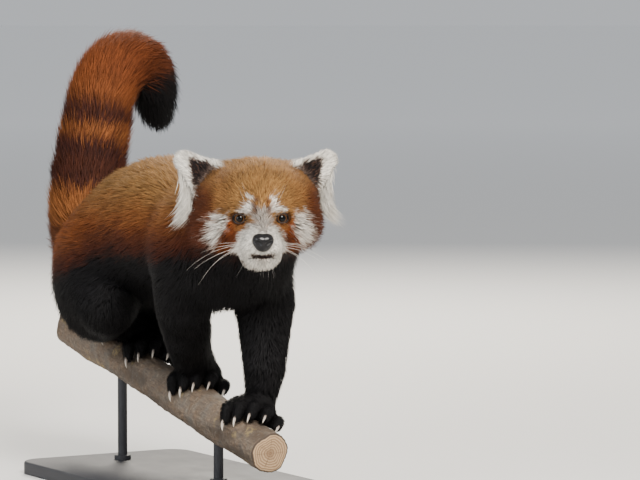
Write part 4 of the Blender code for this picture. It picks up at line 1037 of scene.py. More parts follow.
def make_coat(obj, settings):
    """The coat's tufts, rooted over the skin and laid along it out to the form's outer surface."""
    dice = np.random.default_rng(settings.seed)
    points, normals, faces = mesh_arrays(obj.data)
    weights = regions(points)
    half = mirrored(in_head(points))
    sizes = coat_sizes(points, weights)
    eye_out, eye_ahead = around_eye(half)
    free = (lid_edge(half) > 0.0015) & ~((eye_out < LID_RADIUS) & (np.abs(eye_ahead) < 0.014))
    free &= (above_perch(points) > 0.002) & (nose(in_head(points)) > -0.0010)
    a, b, c, d = (points[faces[:, i]] for i in range(4))
    area = 0.5 * np.linalg.norm(np.cross(c - a, d - b), axis=1)
    apart = sizes[faces, 0].mean(1) / math.sqrt(settings.density)
    corner, share = sow(faces, area / apart**2 * free[faces].all(1), dice)

    def at(values):
        if values.ndim == 1:
            return (values[corner] * share).sum(1)
        return (values[corner] * share[:, :, None]).sum(1)

    depth = at(np.maximum(-animal(points), 0.0003))
    kinds = np.array(list(COAT))[np.argmax(np.stack([at(weights[name]) for name in COAT]), axis=0)]
    root, normal, sizes = at(points), unit(at(normals)), at(sizes)
    sizes[:, 1] *= settings.length
    shapes, out = laid_tufts(root, normal, at(lie(points, weights)), sizes, depth, dice)
    seen = shapes[:, 1:4].mean(1) * 0.4 + shapes[:, 4] * 0.6
    frayed = np.where(kinds == "tail", 0.15, 0.09)[:, None] * sizes[:, 1:2]
    seen += dice.normal(size=seen.shape) * frayed
    marks, tone = markings(seen, regions(seen))
    pale = (kinds == "ear") & (dice.random(len(root)) < 0.10)
    marks[pale, 1] *= 0.35
    varied = 0.16 * ripple(root, 0.022, 23) + 0.14 * ripple(root, 0.006, 24) + 0.80 * (dice.random(len(root)) - 0.5)
    varied = np.clip(0.5 + varied, 0, 1)
    tone = np.column_stack((tone, varied))
    tip = in_head(shapes[:, 4])
    eye_out, eye_ahead = around_eye(mirrored(tip))
    clear = ~((eye_out < LID_RADIUS) & (eye_ahead > 0) & (eye_ahead < 0.02))
    clear &= np.minimum(nose(tip), nose(in_head(shapes[:, 1:4].mean(1)))) > 0.0002
    clear &= np.linalg.norm(shapes[:, 4] - shapes[:, 0], axis=1) < 1.45 * sizes[:, 1] + 0.0025
    for name, chosen in coat_groups(root, kinds).items():
        chosen &= clear
        uv = unwrapped(root[chosen], name.split("_")[1])
        soft = 0.28 if name in ("coat_head_front", "coat_ear") else 0.45
        add_tufts(name, shapes[chosen], out[chosen], marks[chosen], tone[chosen], uv, soft)


def laid_tufts(root, normal, flow, sizes, depth, dice):
    """The five points of each tuft, and the way out of the coat above it."""
    count = len(root)
    flow = unit(flow - normal * (flow * normal).sum(1)[:, None])
    side = np.cross(normal, flow)
    yaw = 0.20 * ripple(root, 0.035, 21) + 0.17 * dice.normal(size=count)
    way = flow * np.cos(yaw)[:, None] + side * np.sin(yaw)[:, None]
    length = sizes[:, 1] * dice.uniform(0.70, 1.22, count)
    stray = dice.random(count) < 0.05
    reach = 1.08 - 0.48 * dice.random(count) ** 1.7 + 0.20 * stray + 0.10 * ripple(root, 0.014, 22)
    reach = np.clip(reach, 0.3, 1.30)
    mid = root + way * (length * 0.46)[:, None] + normal * (depth * reach * 0.6)[:, None]
    mid, out = settled(mid, animal, -depth * (1 - 0.66 * reach))
    lift = sizes[:, 3] * dice.random(count) ** 1.3
    tip = root + way * length[:, None] + normal * (depth * reach)[:, None]
    tip, _ = settled(tip, animal, lift - depth * (1 - reach))
    side = unit(np.cross(normal, way))
    width = sizes[:, 2] * dice.uniform(0.7, 1.25, count)
    return tuft_points(root - normal * 0.0006, mid, tip, side, unit(out + normal), width), unit(out + 0.5 * normal)


def coat_groups(root, kind):
    """Which tufts go in which coat piece."""
    station, _, _ = tail_station(root)
    on_head = (kind == "head") | (kind == "face")
    in_tail, in_torso, in_leg = kind == "tail", kind == "torso", kind == "leg"
    q = in_head(root)
    return {
        "coat_head_front": on_head & (q[:, 1] < -0.020),
        "coat_head_back": on_head & (q[:, 1] >= -0.020),
        "coat_ear": kind == "ear",
        "coat_torso_front": in_torso & (root[:, 1] < 0.020),
        "coat_torso_middle": in_torso & (root[:, 1] >= 0.020) & (root[:, 1] < 0.120),
        "coat_torso_rear": in_torso & (root[:, 1] >= 0.120),
        "coat_tail_low": in_tail & (station < 0.18),
        "coat_tail_middle": in_tail & (station >= 0.18) & (station < 0.30),
        "coat_tail_high": in_tail & (station >= 0.30),
        "coat_leg_front": in_leg & (root[:, 1] < 0.060),
        "coat_leg_rear": in_leg & (root[:, 1] >= 0.060),
        "coat_foot": kind == "foot",
    }


def add_tassels(settings):
    """The long pale hair that hangs from the outer edge of each ear and turns outward at its end."""
    dice = np.random.default_rng(settings.seed + 1)
    count = 2600
    share = dice.random(count) ** 0.80
    sign = np.where(np.arange(count) % 2, LEFT, RIGHT)[:, None] * (1, 0, 0) + (0, 1, 1)
    edge = np.array((0.0905, 0.0320, 0.0440)) + np.array((-0.0135, -0.0110, -0.0360)) * share[:, None]
    edge += dice.normal(size=(count, 3)) * np.column_stack((0.0012 + 0.0020 * share, 0.0016 + 0 * share, 0.0016 + 0 * share))
    long = (0.011 + 0.038 * share**1.6) * dice.uniform(0.60, 1.08, count)
    lean = 0.36 * share - 0.16 + 0.09 * dice.normal(size=count)
    first = unit(np.column_stack((lean, 0.10 * dice.normal(size=count), np.full(count, -1.0))))
    last = unit(np.column_stack((lean + 0.80 * share**2, 0.12 * dice.normal(size=count), np.full(count, -0.90))))
    mid = edge + first * (long * 0.48)[:, None]
    tip = mid + last * (long * 0.52)[:, None]
    edge, mid, tip = (from_head(q * sign) for q in (edge, mid, tip))
    out = unit(from_head(np.array((0.8, -0.6, 0)) * sign) - HEAD)
    way = unit(tip - edge)
    side = unit(np.cross(out, way))
    shapes = tuft_points(edge, mid, tip, side, np.cross(way, side), dice.uniform(0.0006, 0.0009, count))
    marks = np.column_stack((np.ones(count), np.zeros(count), np.zeros(count)))
    tone = np.column_stack((np.full(count, 0.5), np.zeros(count), 0.25 + 0.75 * dice.random(count)))
    add_tufts("coat_ear_tassels", shapes, out, marks, tone, unwrapped(edge, "ear"), 0.28)


def eye_material(colours):
    """A dark iris with a wide pupil under a wet, clear surface."""
    made, tree, shader = new_material("Eye", (0.03, 0.016, 0.01), Roughness=0.35, Specular_IOR_Level=0.02, Coat_Weight=0.50,
                                      Coat_IOR=1.36, Coat_Roughness=0.02)
    off = tree.attribute("off_axis")
    streaks = tree.noise(55.0, 4.0, vector=tree.attribute("streak", True))
    iris = tree.mix(streaks, tuple(0.30 * c for c in colours.iris) + (1,), (*colours.iris, 1))
    edge = tree.ramp(off, (0.0, 0.0), (0.42, 0.0), (0.60, 1.0), (1.0, 1.0))
    colour = tree.mix(edge, iris, (0.004, 0.003, 0.003, 1))
    pupil = tree.ramp(off, (0.0, 1.0), (0.34, 1.0), (0.40, 0.0), (1.0, 0.0))
    colour = tree.mix(pupil, colour, (0.001, 0.001, 0.001, 1))
    tree.tree.links.new(colour, shader.inputs["Base Color"])
    return made


def gaze_axes():
    """Where the left eye looks, and the two directions square to it, in the head's frame."""
    gaze = unit(EYE_AXIS * (0.55, 1, 1) + (0.0, 0, -0.02))
    one = unit(np.cross(gaze, (0, 0, 1)))
    return gaze, one, np.cross(one, gaze)


def eyeball(sign):
    """Points and faces of one eyeball, with how far each point is off its axis and where it is round it."""
    gaze, one, two = gaze_axes()
    rings, sides = 30, 48
    points, off, streak = [], [], []
    for k in range(rings + 1):
        tilt = math.pi * k / rings
        bulge = 1 + 0.030 * max(0.0, 1 - (tilt / 0.70) ** 2)
        for s in range(sides):
            turn = math.tau * s / sides
            out = gaze * math.cos(tilt) + (one * math.cos(turn) + two * math.sin(turn)) * math.sin(tilt)
            points.append(from_head((EYE + out * (EYE_RADIUS - 0.0003) * bulge) * (sign, 1, 1)))
            off.append(tilt / (math.pi / 2))
            streak.append((math.cos(turn) * 0.12, math.sin(turn) * 0.12, tilt * 0.02))
    faces = []
    for k in range(rings):
        for s in range(sides):
            a, b = k * sides + s, k * sides + (s + 1) % sides
            faces.append((a, b, b + sides, a + sides)[::-sign])
    return np.array(points), faces, off, streak


def rim_shape(sign):
    """Points and faces of the thin dark edge of the lids, along the eye's almond opening."""
    one = unit(np.cross(EYE_AXIS, (0, 0, 1)))
    two = np.cross(one, EYE_AXIS)
    centres, radii = [], []
    for s in range(56):
        turn = math.tau * s / 56
        corner = 1 + 0.10 * abs(math.cos(turn)) ** 5
        at = one * math.cos(turn) * 1.08 * corner + two * math.sin(turn) * 0.90
        at = at * (LID_RADIUS - 0.0001)
        ahead = math.sqrt(max(EYE_RADIUS**2 - at @ at, 0.0)) + 0.0004
        centres.append(EYE + at + EYE_AXIS * ahead)
        radii.append(0.00055 + 0.00015 * math.sin(turn))
    points, faces = closed_ring(centres, radii, 10, EYE_AXIS)
    return from_head(points * (sign, 1, 1)), [face[::sign] for face in faces]


def make_eyes(colours):
    """Two eyeballs that look ahead, each with a dark rim of bare lid round it."""
    material = eye_material(colours)
    rim_material, tree, shader = new_material("Eye rim", (0.010, 0.008, 0.008), Roughness=0.38)
    tree.tree.links.new(tree.bump(tree.noise(1500.0), 0.4, 0.0002), shader.inputs["Normal"])
    for sign, side in ((LEFT, "left"), (RIGHT, "right")):
        points, faces, off, streak = eyeball(sign)
        obj = listed_piece(f"eyeball_{side}", points + GRIP, faces, material, [f"eye_{side}"])
        give(obj, "off_axis", off)
        give(obj, "streak", streak)
        points, faces = rim_shape(sign)
        listed_piece(f"eye_rim_{side}", points + GRIP, faces, rim_material)


def closed_ring(centres, radii, sides, axis):
    """Points and faces of a tube that closes on itself, round an axis."""
    count = len(centres)
    centres = np.array(centres)
    middle = centres.mean(0)
    points, faces = [], []
    for centre, radius in zip(centres, radii):
        out = unit(centre - middle - axis * ((centre - middle) @ axis))
        for s in range(sides):
            turn = math.tau * s / sides
            points.append(centre + radius * (out * math.cos(turn) + axis * math.sin(turn)))
    for k in range(count):
        for s in range(sides):
            a, b = k * sides + s, k * sides + (s + 1) % sides
            c, d = ((k + 1) % count) * sides + (s + 1) % sides, ((k + 1) % count) * sides + s
            faces.append((a, d, c, b))
    return np.array(points), faces


def make_nose():
    """The bare nose pad, moist and finely pebbled."""
    made, tree, shader = new_material("Nose pad", (0.006, 0.006, 0.007), Roughness=0.42, Specular_IOR_Level=0.12,
                                      Coat_Weight=0.55, Coat_IOR=1.36, Coat_Roughness=0.16)
    pebbles = tree.node("ShaderNodeTexVoronoi", {"Scale": 1300.0}).outputs["Distance"]
    tree.tree.links.new(tree.bump(pebbles, 0.7, 0.0003), shader.inputs["Normal"])
    colour = tree.mix(tree.noise(300.0), (0.002, 0.002, 0.002, 1), (0.006, 0.005, 0.006, 1))
    tree.tree.links.new(colour, shader.inputs["Base Color"])
    axes = [graded((low, high, 0.00050)) for low, high in zip(NOSE - 0.0165, NOSE + 0.0165)]
    points, faces = surface_net(nose, axes)
    quads_piece("nose_pad", from_head(points) + GRIP, faces, made, ["nose"])


def claw_shape(name, toe):
    """Points and faces of one curved claw, and how far along it each point is."""
    _, bend, end = toe_joints(name, toe)
    ahead = unit(end - bend)
    out = end + perch_up() * PERCH_RADIUS
    out -= perch_axis() * (out @ perch_axis())
    out -= ahead * (out @ ahead)
    down = -unit(out)
    ahead = unit(ahead * 0.8 - down * 0.35)
    toe_end = end + ahead * TOE_RADIUS * 0.4
    side = np.cross(ahead, down)
    rings, sides = 12, 14
    points, along = [], []
    for k in range(rings + 1):
        share = k / rings
        centre = toe_end + ahead * (CLAW_LENGTH * share - 0.003) + down * CLAW_LENGTH * (0.42 * share**2 - 0.16)
        radius = CLAW_RADIUS * max(1 - share, 0.0) ** 0.6 + 0.0001
        for s in range(sides):
            turn = math.tau * s / sides
            points.append(centre + side * radius * 0.8 * math.cos(turn) + down * radius * 1.15 * math.sin(turn))
            along.append(share)
    faces = [tuple(range(sides))[::-1]]
    for k in range(rings):
        for s in range(sides):
            a, b = k * sides + s, k * sides + (s + 1) % sides
            faces.append((a, b, b + sides, a + sides))
    faces.append(tuple(range(len(points) - sides, len(points))))
    return points, faces, along


def make_claws():
    """Five horn claws on each foot."""
    made, tree, shader = new_material("Claw", (0.50, 0.44, 0.38), Roughness=0.32)
    tint = tree.ramp(tree.attribute("along"), (0.0, (0.16, 0.12, 0.10)), (0.30, (0.46, 0.40, 0.35)),
                     (0.75, (0.62, 0.57, 0.50)), (1.0, (0.50, 0.44, 0.36)))
    colour = tree.mix(0.35, tint, tree.mix(tree.noise(700.0), (0.25, 0.2, 0.17, 1), (0.8, 0.75, 0.7, 1)), "MULTIPLY")
    tree.tree.links.new(colour, shader.inputs["Base Color"])
    tree.tree.links.new(tree.bump(tree.noise(2200.0, 2.0), 0.25, 0.0002), shader.inputs["Normal"])
    for name in FEET:
        shapes = [claw_shape(name, toe) for toe in TOES]
        points, faces = joined([(points, faces) for points, faces, _ in shapes])
        nodes = [f"claw_{name}_{number}" for number in range(1, 6)]
        obj = listed_piece(f"claws_{name}", np.array(points) + GRIP, faces, made, nodes)
        give(obj, "along", [share for _, _, along in shapes for share in along])


# Whiskers of one side: how steeply each leaves, and its length and droop as shares of the longest
WHISKERS = ((0.06, 0.52, 0.06), (-0.02, 0.72, 0.14), (-0.06, 1.0, 0.34), (-0.12, 0.80, 0.28), (-0.20, 0.74, 0.48),
            (-0.30, 0.46, 0.16))


def whisker(root, way, length, droop, radius):
    """A long hair that leaves along way, then bends down."""
    share = np.linspace(0, 1, 11)[:, None]
    centres = root + way * length * share + np.array((0, 0, -1)) * droop * share**2.2
    return tube(centres, radius * (1 - 0.82 * share[:, 0]), 5)


def make_whiskers(settings):
    """Whiskers on the muzzle and fine hairs over the eyes and under the chin."""
    dice = np.random.default_rng(settings.seed + 2)
    made, tree, shader = new_material("Whisker", (0.60, 0.56, 0.50), Roughness=0.45)
    tree.tree.links.new(tree.mix(tree.noise(150.0), (0.50, 0.46, 0.40, 1), (0.80, 0.76, 0.70, 1)), shader.inputs["Base Color"])
    parts = []
    for sign in (LEFT, RIGHT):
        for k, (rise, length, droop) in enumerate(WHISKERS):
            root = np.array((0.0236 + 0.0012 * (k % 3), -0.0470 + 0.0042 * (k % 3), -0.0430 - 0.0017 * k))
            way = unit(np.array((0.95, 0.05 + 0.10 * (k % 3), rise)) + dice.normal(size=3) * 0.05)
            length = settings.whisker * length * dice.uniform(0.90, 1.10)
            points, faces = whisker(root, way, length, settings.whisker * droop * dice.uniform(0.85, 1.15), 0.00016)
            parts.append((from_head(np.array(points) * (sign, 1, 1)), [face[::sign] for face in faces]))
        for number in range(2):
            root = np.array((0.0150 + 0.0045 * number, -0.0440, 0.0050))
            way = unit(np.array((0.35 + 0.15 * number, -0.45, 0.80)) + dice.normal(size=3) * 0.08)
            points, faces = whisker(root, way, 0.022 * dice.uniform(0.8, 1.1), -0.003, 0.00009)
            parts.append((from_head(np.array(points) * (sign, 1, 1)), [face[::sign] for face in faces]))
    for _ in range(6):
        root = np.array((dice.uniform(-0.022, 0.022), dice.uniform(-0.048, -0.028), -0.0700))
        way = unit(np.array((root[0] * 24, -0.30, -0.9)) + dice.normal(size=3) * 0.14)
        points, faces = whisker(root, way, dice.uniform(0.008, 0.016), 0.002, 0.00006)
        parts.append((from_head(np.array(points)), faces))
    points, faces = joined(parts)
    listed_piece("whiskers", np.array(points) + GRIP, faces, made)


KNOTS = ((0.166, 0.030, 0.0075), (0.020, -0.046, 0.0060), (-0.190, 0.052, 0.0080), (-0.300, -0.028, 0.0065))


def bark_height(along, across):
    """How far the bark stands off the perch's round: its swell, plates, cracks and knots."""
    angle = across / PERCH_RADIUS
    broad = 0.0008 * math.sin(3 * angle + along * 31) + 0.0006 * math.sin(5 * angle - along * 57)
    swell = 0.0014 * math.sin(along * 22 + 1.2) - 0.0008
    round_place = Vector((math.cos(angle) * 26, math.sin(angle) * 26, along * 1000))
    plates = noise.fractal(round_place * 0.11, 1.0, 2.1, 4) * 0.0008
    scales = noise.noise(Vector((round_place.x * 0.5, round_place.y * 0.5, round_place.z * 0.13))) * 0.0005
    crack = abs(noise.noise(Vector((round_place.x * 0.22, round_place.y * 0.22, round_place.z * 0.035))))
    height = broad + swell + plates + scales - 0.0009 * max(0.0, 1 - crack / 0.06)
    for knot_along, knot_across, size in KNOTS:
        around = (across - knot_across + math.pi * PERCH_RADIUS) % (math.tau * PERCH_RADIUS) - math.pi * PERCH_RADIUS
        far = math.hypot(along - knot_along, around) / size
        height += 0.0020 * math.exp(-((far - 0.9) ** 2) / 0.10) - 0.0012 * math.exp(-(far**2) / 0.25)
    return height


def bark_material(colours):
    """Grey-brown bark with fine furrows, short pale pores across it, small ochre patches of lichen and painted shade in
    its deepest cracks.
    """
    made, tree, shader = new_material("Bark", (0.12, 0.09, 0.07), Roughness=0.85, Specular_IOR_Level=0.3)
    grain = tree.attribute("grain", True)
    lengthwise = tree.node("ShaderNodeMapping", {"Vector": grain, "Scale": (1.0, 1.0, 0.22)}).outputs[0]
    crosswise = tree.node("ShaderNodeMapping", {"Vector": grain, "Scale": (0.35, 0.35, 1.0)}).outputs[0]
    fine, broad = tree.noise(520.0, 6.0, 0.70, lengthwise), tree.noise(46.0, 5.0, 0.65, grain)
    pores = tree.ramp(tree.noise(420.0, 2.0, 0.5, crosswise), (0.60, 0.0), (0.70, 1.0))
    dark, light = tuple(0.38 * c for c in colours.bark) + (1,), (*colours.bark, 1)
    colour = tree.mix(tree.ramp(fine, (0.30, 0.0), (0.70, 1.0)), dark, light)
    weathered = tree.mix(fine, (0.050, 0.046, 0.040, 1), (0.165, 0.150, 0.130, 1))
    colour = tree.mix(tree.ramp(broad, (0.42, 0.0), (0.66, 0.70)), colour, weathered)
    colour = tree.mix(tree.math("MULTIPLY", pores, 0.50), colour, (0.25, 0.21, 0.165, 1))
    patch_places = tree.math("MULTIPLY", tree.ramp(tree.noise(34.0, 3.0, 0.5, grain), (0.61, 0.0), (0.68, 1.0)),
                             tree.ramp(tree.noise(210.0, 3.0, 0.6, grain), (0.44, 0.0), (0.56, 0.8)))
    colour = tree.mix(patch_places, colour, (*colours.lichen, 1))
    # Painted shade in the bark's deepest cracks and hollows.
    colour = tree.mix(tree.math("MULTIPLY", tree.attribute("low"), fine), colour, (0.030, 0.021, 0.015, 1))
    tree.tree.links.new(colour, shader.inputs["Base Color"])
    height = tree.math("MULTIPLY_ADD", pores, 0.35, fine)
    tree.tree.links.new(tree.bump(height, 0.9, 0.0012), shader.inputs["Normal"])
    return made


def cut_wood_material():
    """Pale cut wood with year rings, a darker heart and fine checks that run out from it."""
    made, tree, shader = new_material("Cut wood", (0.42, 0.30, 0.19), Roughness=0.75, Specular_IOR_Level=0.25)
    grain = tree.attribute("grain", True)
    parts = tree.node("ShaderNodeSeparateXYZ", {0: grain}).outputs
    far = tree.math("SQRT", tree.math("ADD", tree.math("POWER", parts[0], 2.0), tree.math("POWER", parts[1], 2.0)))
    wander = tree.math("MULTIPLY_ADD", tree.noise(60.0, 2.0, 0.5, grain), 0.005, far)
    rings = tree.math("MULTIPLY_ADD", tree.math("SINE", tree.math("MULTIPLY", wander, 1900.0)), 0.5, 0.5)
    colour = tree.ramp(rings, (0.0, (0.42, 0.29, 0.17)), (0.60, (0.34, 0.22, 0.12)), (1.0, (0.16, 0.090, 0.045)))
    share = tree.math("DIVIDE", far, PERCH_RADIUS)
    colour = tree.mix(tree.ramp(share, (0.0, 0.75), (0.17, 0.55), (0.33, 0.0), (1.0, 0.0)), colour, (0.13, 0.070, 0.035, 1))
    colour = tree.mix(tree.math("MULTIPLY", tree.noise(500.0, 3.0, 0.6, grain), 0.5), colour, (0.20, 0.13, 0.08, 1))
    spoke = tree.node("ShaderNodeCombineXYZ", {0: parts[0], 1: parts[1]}).outputs[0]
    spoke = tree.node("ShaderNodeVectorMath", {0: spoke}, operation="NORMALIZE").outputs[0]
    checks = tree.ramp(tree.noise(7.0, 1.0, 0.5, spoke), (0.0, 0.0), (0.485, 0.0), (0.50, 1.0), (0.515, 0.0), (1.0, 0.0))
    checks = tree.math("MULTIPLY", checks, tree.ramp(share, (0.0, 0.0), (0.15, 1.0), (0.62, 0.7), (0.81, 0.0), (1.0, 0.0)))
    colour = tree.mix(checks, colour, (0.05, 0.03, 0.018, 1))
    bark = tree.ramp(share, (0.0, 0.0), (0.905, 0.0), (0.930, 1.0), (1.0, 1.0))
    colour = tree.mix(bark, colour, (0.05, 0.035, 0.025, 1))
    tree.tree.links.new(colour, shader.inputs["Base Color"])
    tree.tree.links.new(tree.bump(rings, 0.25, 0.0004), shader.inputs["Normal"])
    return made


def make_perch(colours):
    """The cut length of branch that the feet grip."""
    rings, sides = 300, 96
    points, grain, low = [], [], []
    for k in range(rings + 1):
        along = PERCH_REAR + (PERCH_FRONT - PERCH_REAR) * k / rings
        for s in range(sides):
            across = math.tau * s / sides * PERCH_RADIUS
            height = bark_height(along, across)
            points.append(on_perch(along, across, height))
            grain.append((math.cos(across / PERCH_RADIUS) * 0.026, math.sin(across / PERCH_RADIUS) * 0.026, along))
            # How far a point sinks into a crack or hollow, for the painted shade there.
            low.append(min(1.0, max(0.0, (-0.0014 - height) / 0.0014)))
    faces = []
    for k in range(rings):
        for s in range(sides):
            a, b = k * sides + s, k * sides + (s + 1) % sides
            faces.append((a, a + sides, b + sides, b))
    obj = listed_piece("branch", np.array(points) + GRIP, faces, bark_material(colours), ["perch"])
    give(obj, "grain", grain)
    give(obj, "low", low)
    wood = cut_wood_material()
    for end, first in (("rear", 0), ("front", rings * sides)):
        rim = np.array(points[first : first + sides])
        step = perch_axis() * (0.0012 if end == "front" else -0.0012)
        middle = rim.mean(0)
        disc, ends, faces = [], [], []
        for share, out in ((1.0, 0.0), (0.972, 1.0), (0.7, 1.05), (0.4, 1.0), (0.15, 1.02)):
            for s in range(sides):
                disc.append(middle + (rim[s] - middle) * share + step * out)
                ends.append((math.cos(math.tau * s / sides) * 0.026 * share, math.sin(math.tau * s / sides) * 0.026 * share, 0.3))
        disc.append(middle + step)
        ends.append((0, 0, 0.3))
        order = 1 if end == "front" else -1
        for k in range(4):
            for s in range(sides):
                a, b = k * sides + s, k * sides + (s + 1) % sides
                faces.append((a, a + sides, b + sides, b)[::order])
        faces += [(4 * sides + s, len(disc) - 1, 4 * sides + (s + 1) % sides)[::order] for s in range(sides)]
        cap = listed_piece(f"cut_end_{end}", np.array(disc) + GRIP, faces, wood)
        give(cap, "grain", ends)


def stand_material(colours):
    """Dark satin paint with faint brushing and worn dust."""
    made, tree, shader = new_material("Stand paint", colours.stand, Roughness=0.55, Specular_IOR_Level=0.25)
    dust = tree.noise(9.0, 5.0, 0.6)
    lighter = tuple(min(1.0, 1.9 * c + 0.01) for c in colours.stand) + (1,)
    tree.tree.links.new(tree.mix(tree.ramp(dust, (0.40, 0.0), (0.75, 0.5)), (*colours.stand, 1), lighter), shader.inputs["Base Color"])
    rough = tree.math("MULTIPLY_ADD", dust, 0.25, 0.46)
    tree.tree.links.new(rough, shader.inputs["Roughness"])
    tree.tree.links.new(tree.bump(tree.noise(1400.0, 2.0), 0.12, 0.0002), shader.inputs["Normal"])
    return made


def make_stand(colours):
    """A flat base with eased edges, and two rods with small collars."""
    paint = stand_material(colours)
    low, high = np.array(BASE_LOW), np.array(BASE_HIGH)
    half, height = (high - low)[:2] / 2, high[2] - low[2]
    middle = (high + low)[:2] / 2
    profile = [(0.0010, 0.0), (0.0, 0.0010), (0.0, height - 0.003)]
    for k in range(1, 7):
        turn = math.pi / 2 * k / 6
        profile.append((0.003 * (1 - math.cos(turn)), height - 0.003 + 0.003 * math.sin(turn)))
    points, faces = [], []
    around = 4 * 13
    for inset, z in profile:
        for turn in range(4):
            sx, sy = (1, -1, -1, 1)[turn], (1, 1, -1, -1)[turn]
            centre = middle + (half - BASE_CORNER) * (sx, sy)
            for step in range(13):
                angle = math.radians(90 * turn + 7.5 * step)
                points.append((*(centre + np.array((math.cos(angle), math.sin(angle))) * (BASE_CORNER - inset)), z + low[2]))
    for k in range(len(profile) - 1):
        for s in range(around):
            a, b = k * around + s, k * around + (s + 1) % around
            faces.append((a, b, b + around, a + around))
    faces.append(tuple(range(around))[::-1])
    faces.append(tuple(range(len(points) - around, len(points))))
    base = listed_piece("base", points, faces, paint, ["stand_base"])
    flat_caps(base)
    for place in ("front", "rear"):
        node = f"stand_rod_{place}"
        rod_low, rod_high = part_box(node)
        x, y = (rod_low.x + rod_high.x) / 2, (rod_low.y + rod_high.y) / 2
        top = rod_high.z + 0.004
        heights = (rod_low.z, rod_low.z + 0.0045, rod_low.z + 0.0055, rod_low.z + 0.006, top)
        radii = (0.0105, 0.0105, 0.0095, ROD_RADIUS, ROD_RADIUS)
        centres = [(x, y, z) for z in heights]
        points, faces = tube(centres, radii, 36)
        rod = listed_piece(f"rod_{place}", points, faces, paint, [node])
        flat_caps(rod)


def flat_caps(obj):
    """Keeps flat faces flat where a smooth mesh turns sharply."""
    obj.data.set_sharp_from_angle(angle=math.radians(32))


def make_stage(stage):
    """A plain pale floor, soft studio light and the camera at the photo's viewing angle."""
    work = bmesh.new()
    bmesh.ops.create_circle(work, cap_ends=True, segments=96, radius=60.0)
    mesh = bpy.data.meshes.new("floor")
    work.to_mesh(mesh)
    work.free()
    floor = bpy.data.objects.new("floor", mesh)
    bpy.context.scene.collection.objects.link(floor)
    made, tree, shader = new_material("Floor", stage.floor, Roughness=0.8)
    place = tree.node("ShaderNodeTexCoord").outputs["Object"]
    far = tree.node("ShaderNodeVectorMath", {0: place}, operation="LENGTH").outputs["Value"]
    far = tree.math("DIVIDE", far, 12.0, clamp=True)
    grey = tree.mix(tree.noise(3.0, 3.0), tuple(0.97 * c for c in stage.floor) + (1,), (*stage.floor, 1))
    grey = tree.mix(tree.ramp(far, (0.0, 0.0), (0.10, 0.0), (1.0, 1.0)), grey, (0.96, 0.96, 0.96, 1))
    tree.tree.links.new(grey, shader.inputs["Base Color"])
    mesh.materials.append(made)
    world = bpy.data.worlds.new("Studio")
    world.use_nodes = True
    world.node_tree.nodes["Background"].inputs[0].default_value = (*stage.air, 1)
    world.node_tree.nodes["Background"].inputs[1].default_value = stage.fill
    bpy.context.scene.world = world
    centre = Vector((0, 0, 0.30))
    for name, place, size, energy, colour in (
        ("key", (-0.35, -2.6, 2.3), 1.3, stage.key, (1.0, 0.95, 0.88)),
        ("side", (-2.9, -0.6, 1.2), 1.8, stage.key * 0.28, (0.92, 0.96, 1.0)),
        ("back", (1.4, 2.3, 2.2), 1.3, stage.key * 0.75, (1.0, 0.93, 0.82)),
    ):
        light = bpy.data.lights.new(name, "AREA")
        light.shape, light.size, light.energy, light.color = "DISK", size, energy, colour
        lamp = bpy.data.objects.new(name, light)
        bpy.context.scene.collection.objects.link(lamp)
        lamp.location = place
        lamp.rotation_euler = (Vector(place) - centre).to_track_quat("Z", "Y").to_euler()
    make_camera()


def make_camera():
    data = bpy.data.cameras.new("camera")
    camera = bpy.data.objects.new("camera", data)
    bpy.context.scene.collection.objects.link(camera)
    data.sensor_width = 36.0
    data.lens = 3590 * 36 / 640
    data.clip_end = 60
    turn, rise = math.radians(-30), math.radians(4)
    back = Vector((math.sin(turn) * math.cos(rise), -math.cos(turn) * math.cos(rise), math.sin(rise)))
    camera.matrix_world = Matrix.Translation((-2.0474, -3.9114, 0.6118)) @ back.to_track_quat("Z", "Y").to_matrix().to_4x4()
    bpy.context.scene.camera = camera


# Settings a user would change


def colour_setting(name, description, default):
    return FloatVectorProperty(name=name, description=description, default=default, min=0, max=1, size=3, subtype="COLOR")


class PandaColours(bpy.types.PropertyGroup):
    gold: colour_setting("Gold", "Tips of the coat on back and crown", (0.232, 0.120, 0.039))
    russet: colour_setting("Russet", "Coat of the flanks", (0.175, 0.050, 0.012))
    maroon: colour_setting("Maroon", "Dark rings of the tail and the edge of the black", (0.034, 0.008, 0.005))
    black: colour_setting("Black", "Legs, chest and belly", (0.005, 0.0045, 0.005))
    white: colour_setting("White", "Face and rims of the ears", (0.68, 0.64, 0.57))
    rust: colour_setting("Rust", "Stripes from the eyes", (0.205, 0.052, 0.012))
    iris: colour_setting("Iris", "Lightest part of the iris", (0.130, 0.056, 0.020))
    bark: colour_setting("Bark", "Lightest bark of the branch", (0.175, 0.122, 0.082))
    lichen: colour_setting("Lichen", "Patches on the bark", (0.30, 0.22, 0.10))
    stand: colour_setting("Stand", "Paint of base and rods", (0.030, 0.030, 0.033))


class PandaCoat(bpy.types.PropertyGroup):
    density: FloatProperty(name="Density", description="Tufts in the coat, as a share of the full number", default=1.0, min=0.1, max=1.2)
    length: FloatProperty(name="Length", description="Length of the tufts, as a share of the real one", default=1.0, min=0.5, max=1.5)
    whisker: FloatProperty(name="Whiskers", description="Length of the longest whiskers", default=0.066, min=0.0, unit="LENGTH")
    seed: IntProperty(name="Seed", description="Changes how the tufts vary", default=7, min=0)


class PandaStage(bpy.types.PropertyGroup):
    floor: colour_setting("Floor", "Colour of the floor", (0.62, 0.61, 0.59))
    air: colour_setting("Air", "Colour of the light from all round", (0.80, 0.83, 0.87))
    fill: FloatProperty(name="Fill", description="Strength of the light from all round", default=0.68, min=0)
    key: FloatProperty(name="Key light", description="Power of the main light", default=230.0, min=0, unit="POWER")


class PandaOperator:
    bl_options = {"REGISTER", "UNDO"}


class PANDA_OT_skin(PandaOperator, bpy.types.Operator):
    """Builds the skin of the whole body as one closed surface"""

    bl_idname = "panda.skin"
    bl_label = "Skin"

    def execute(self, context):
        make_skin()
        return {"FINISHED"}


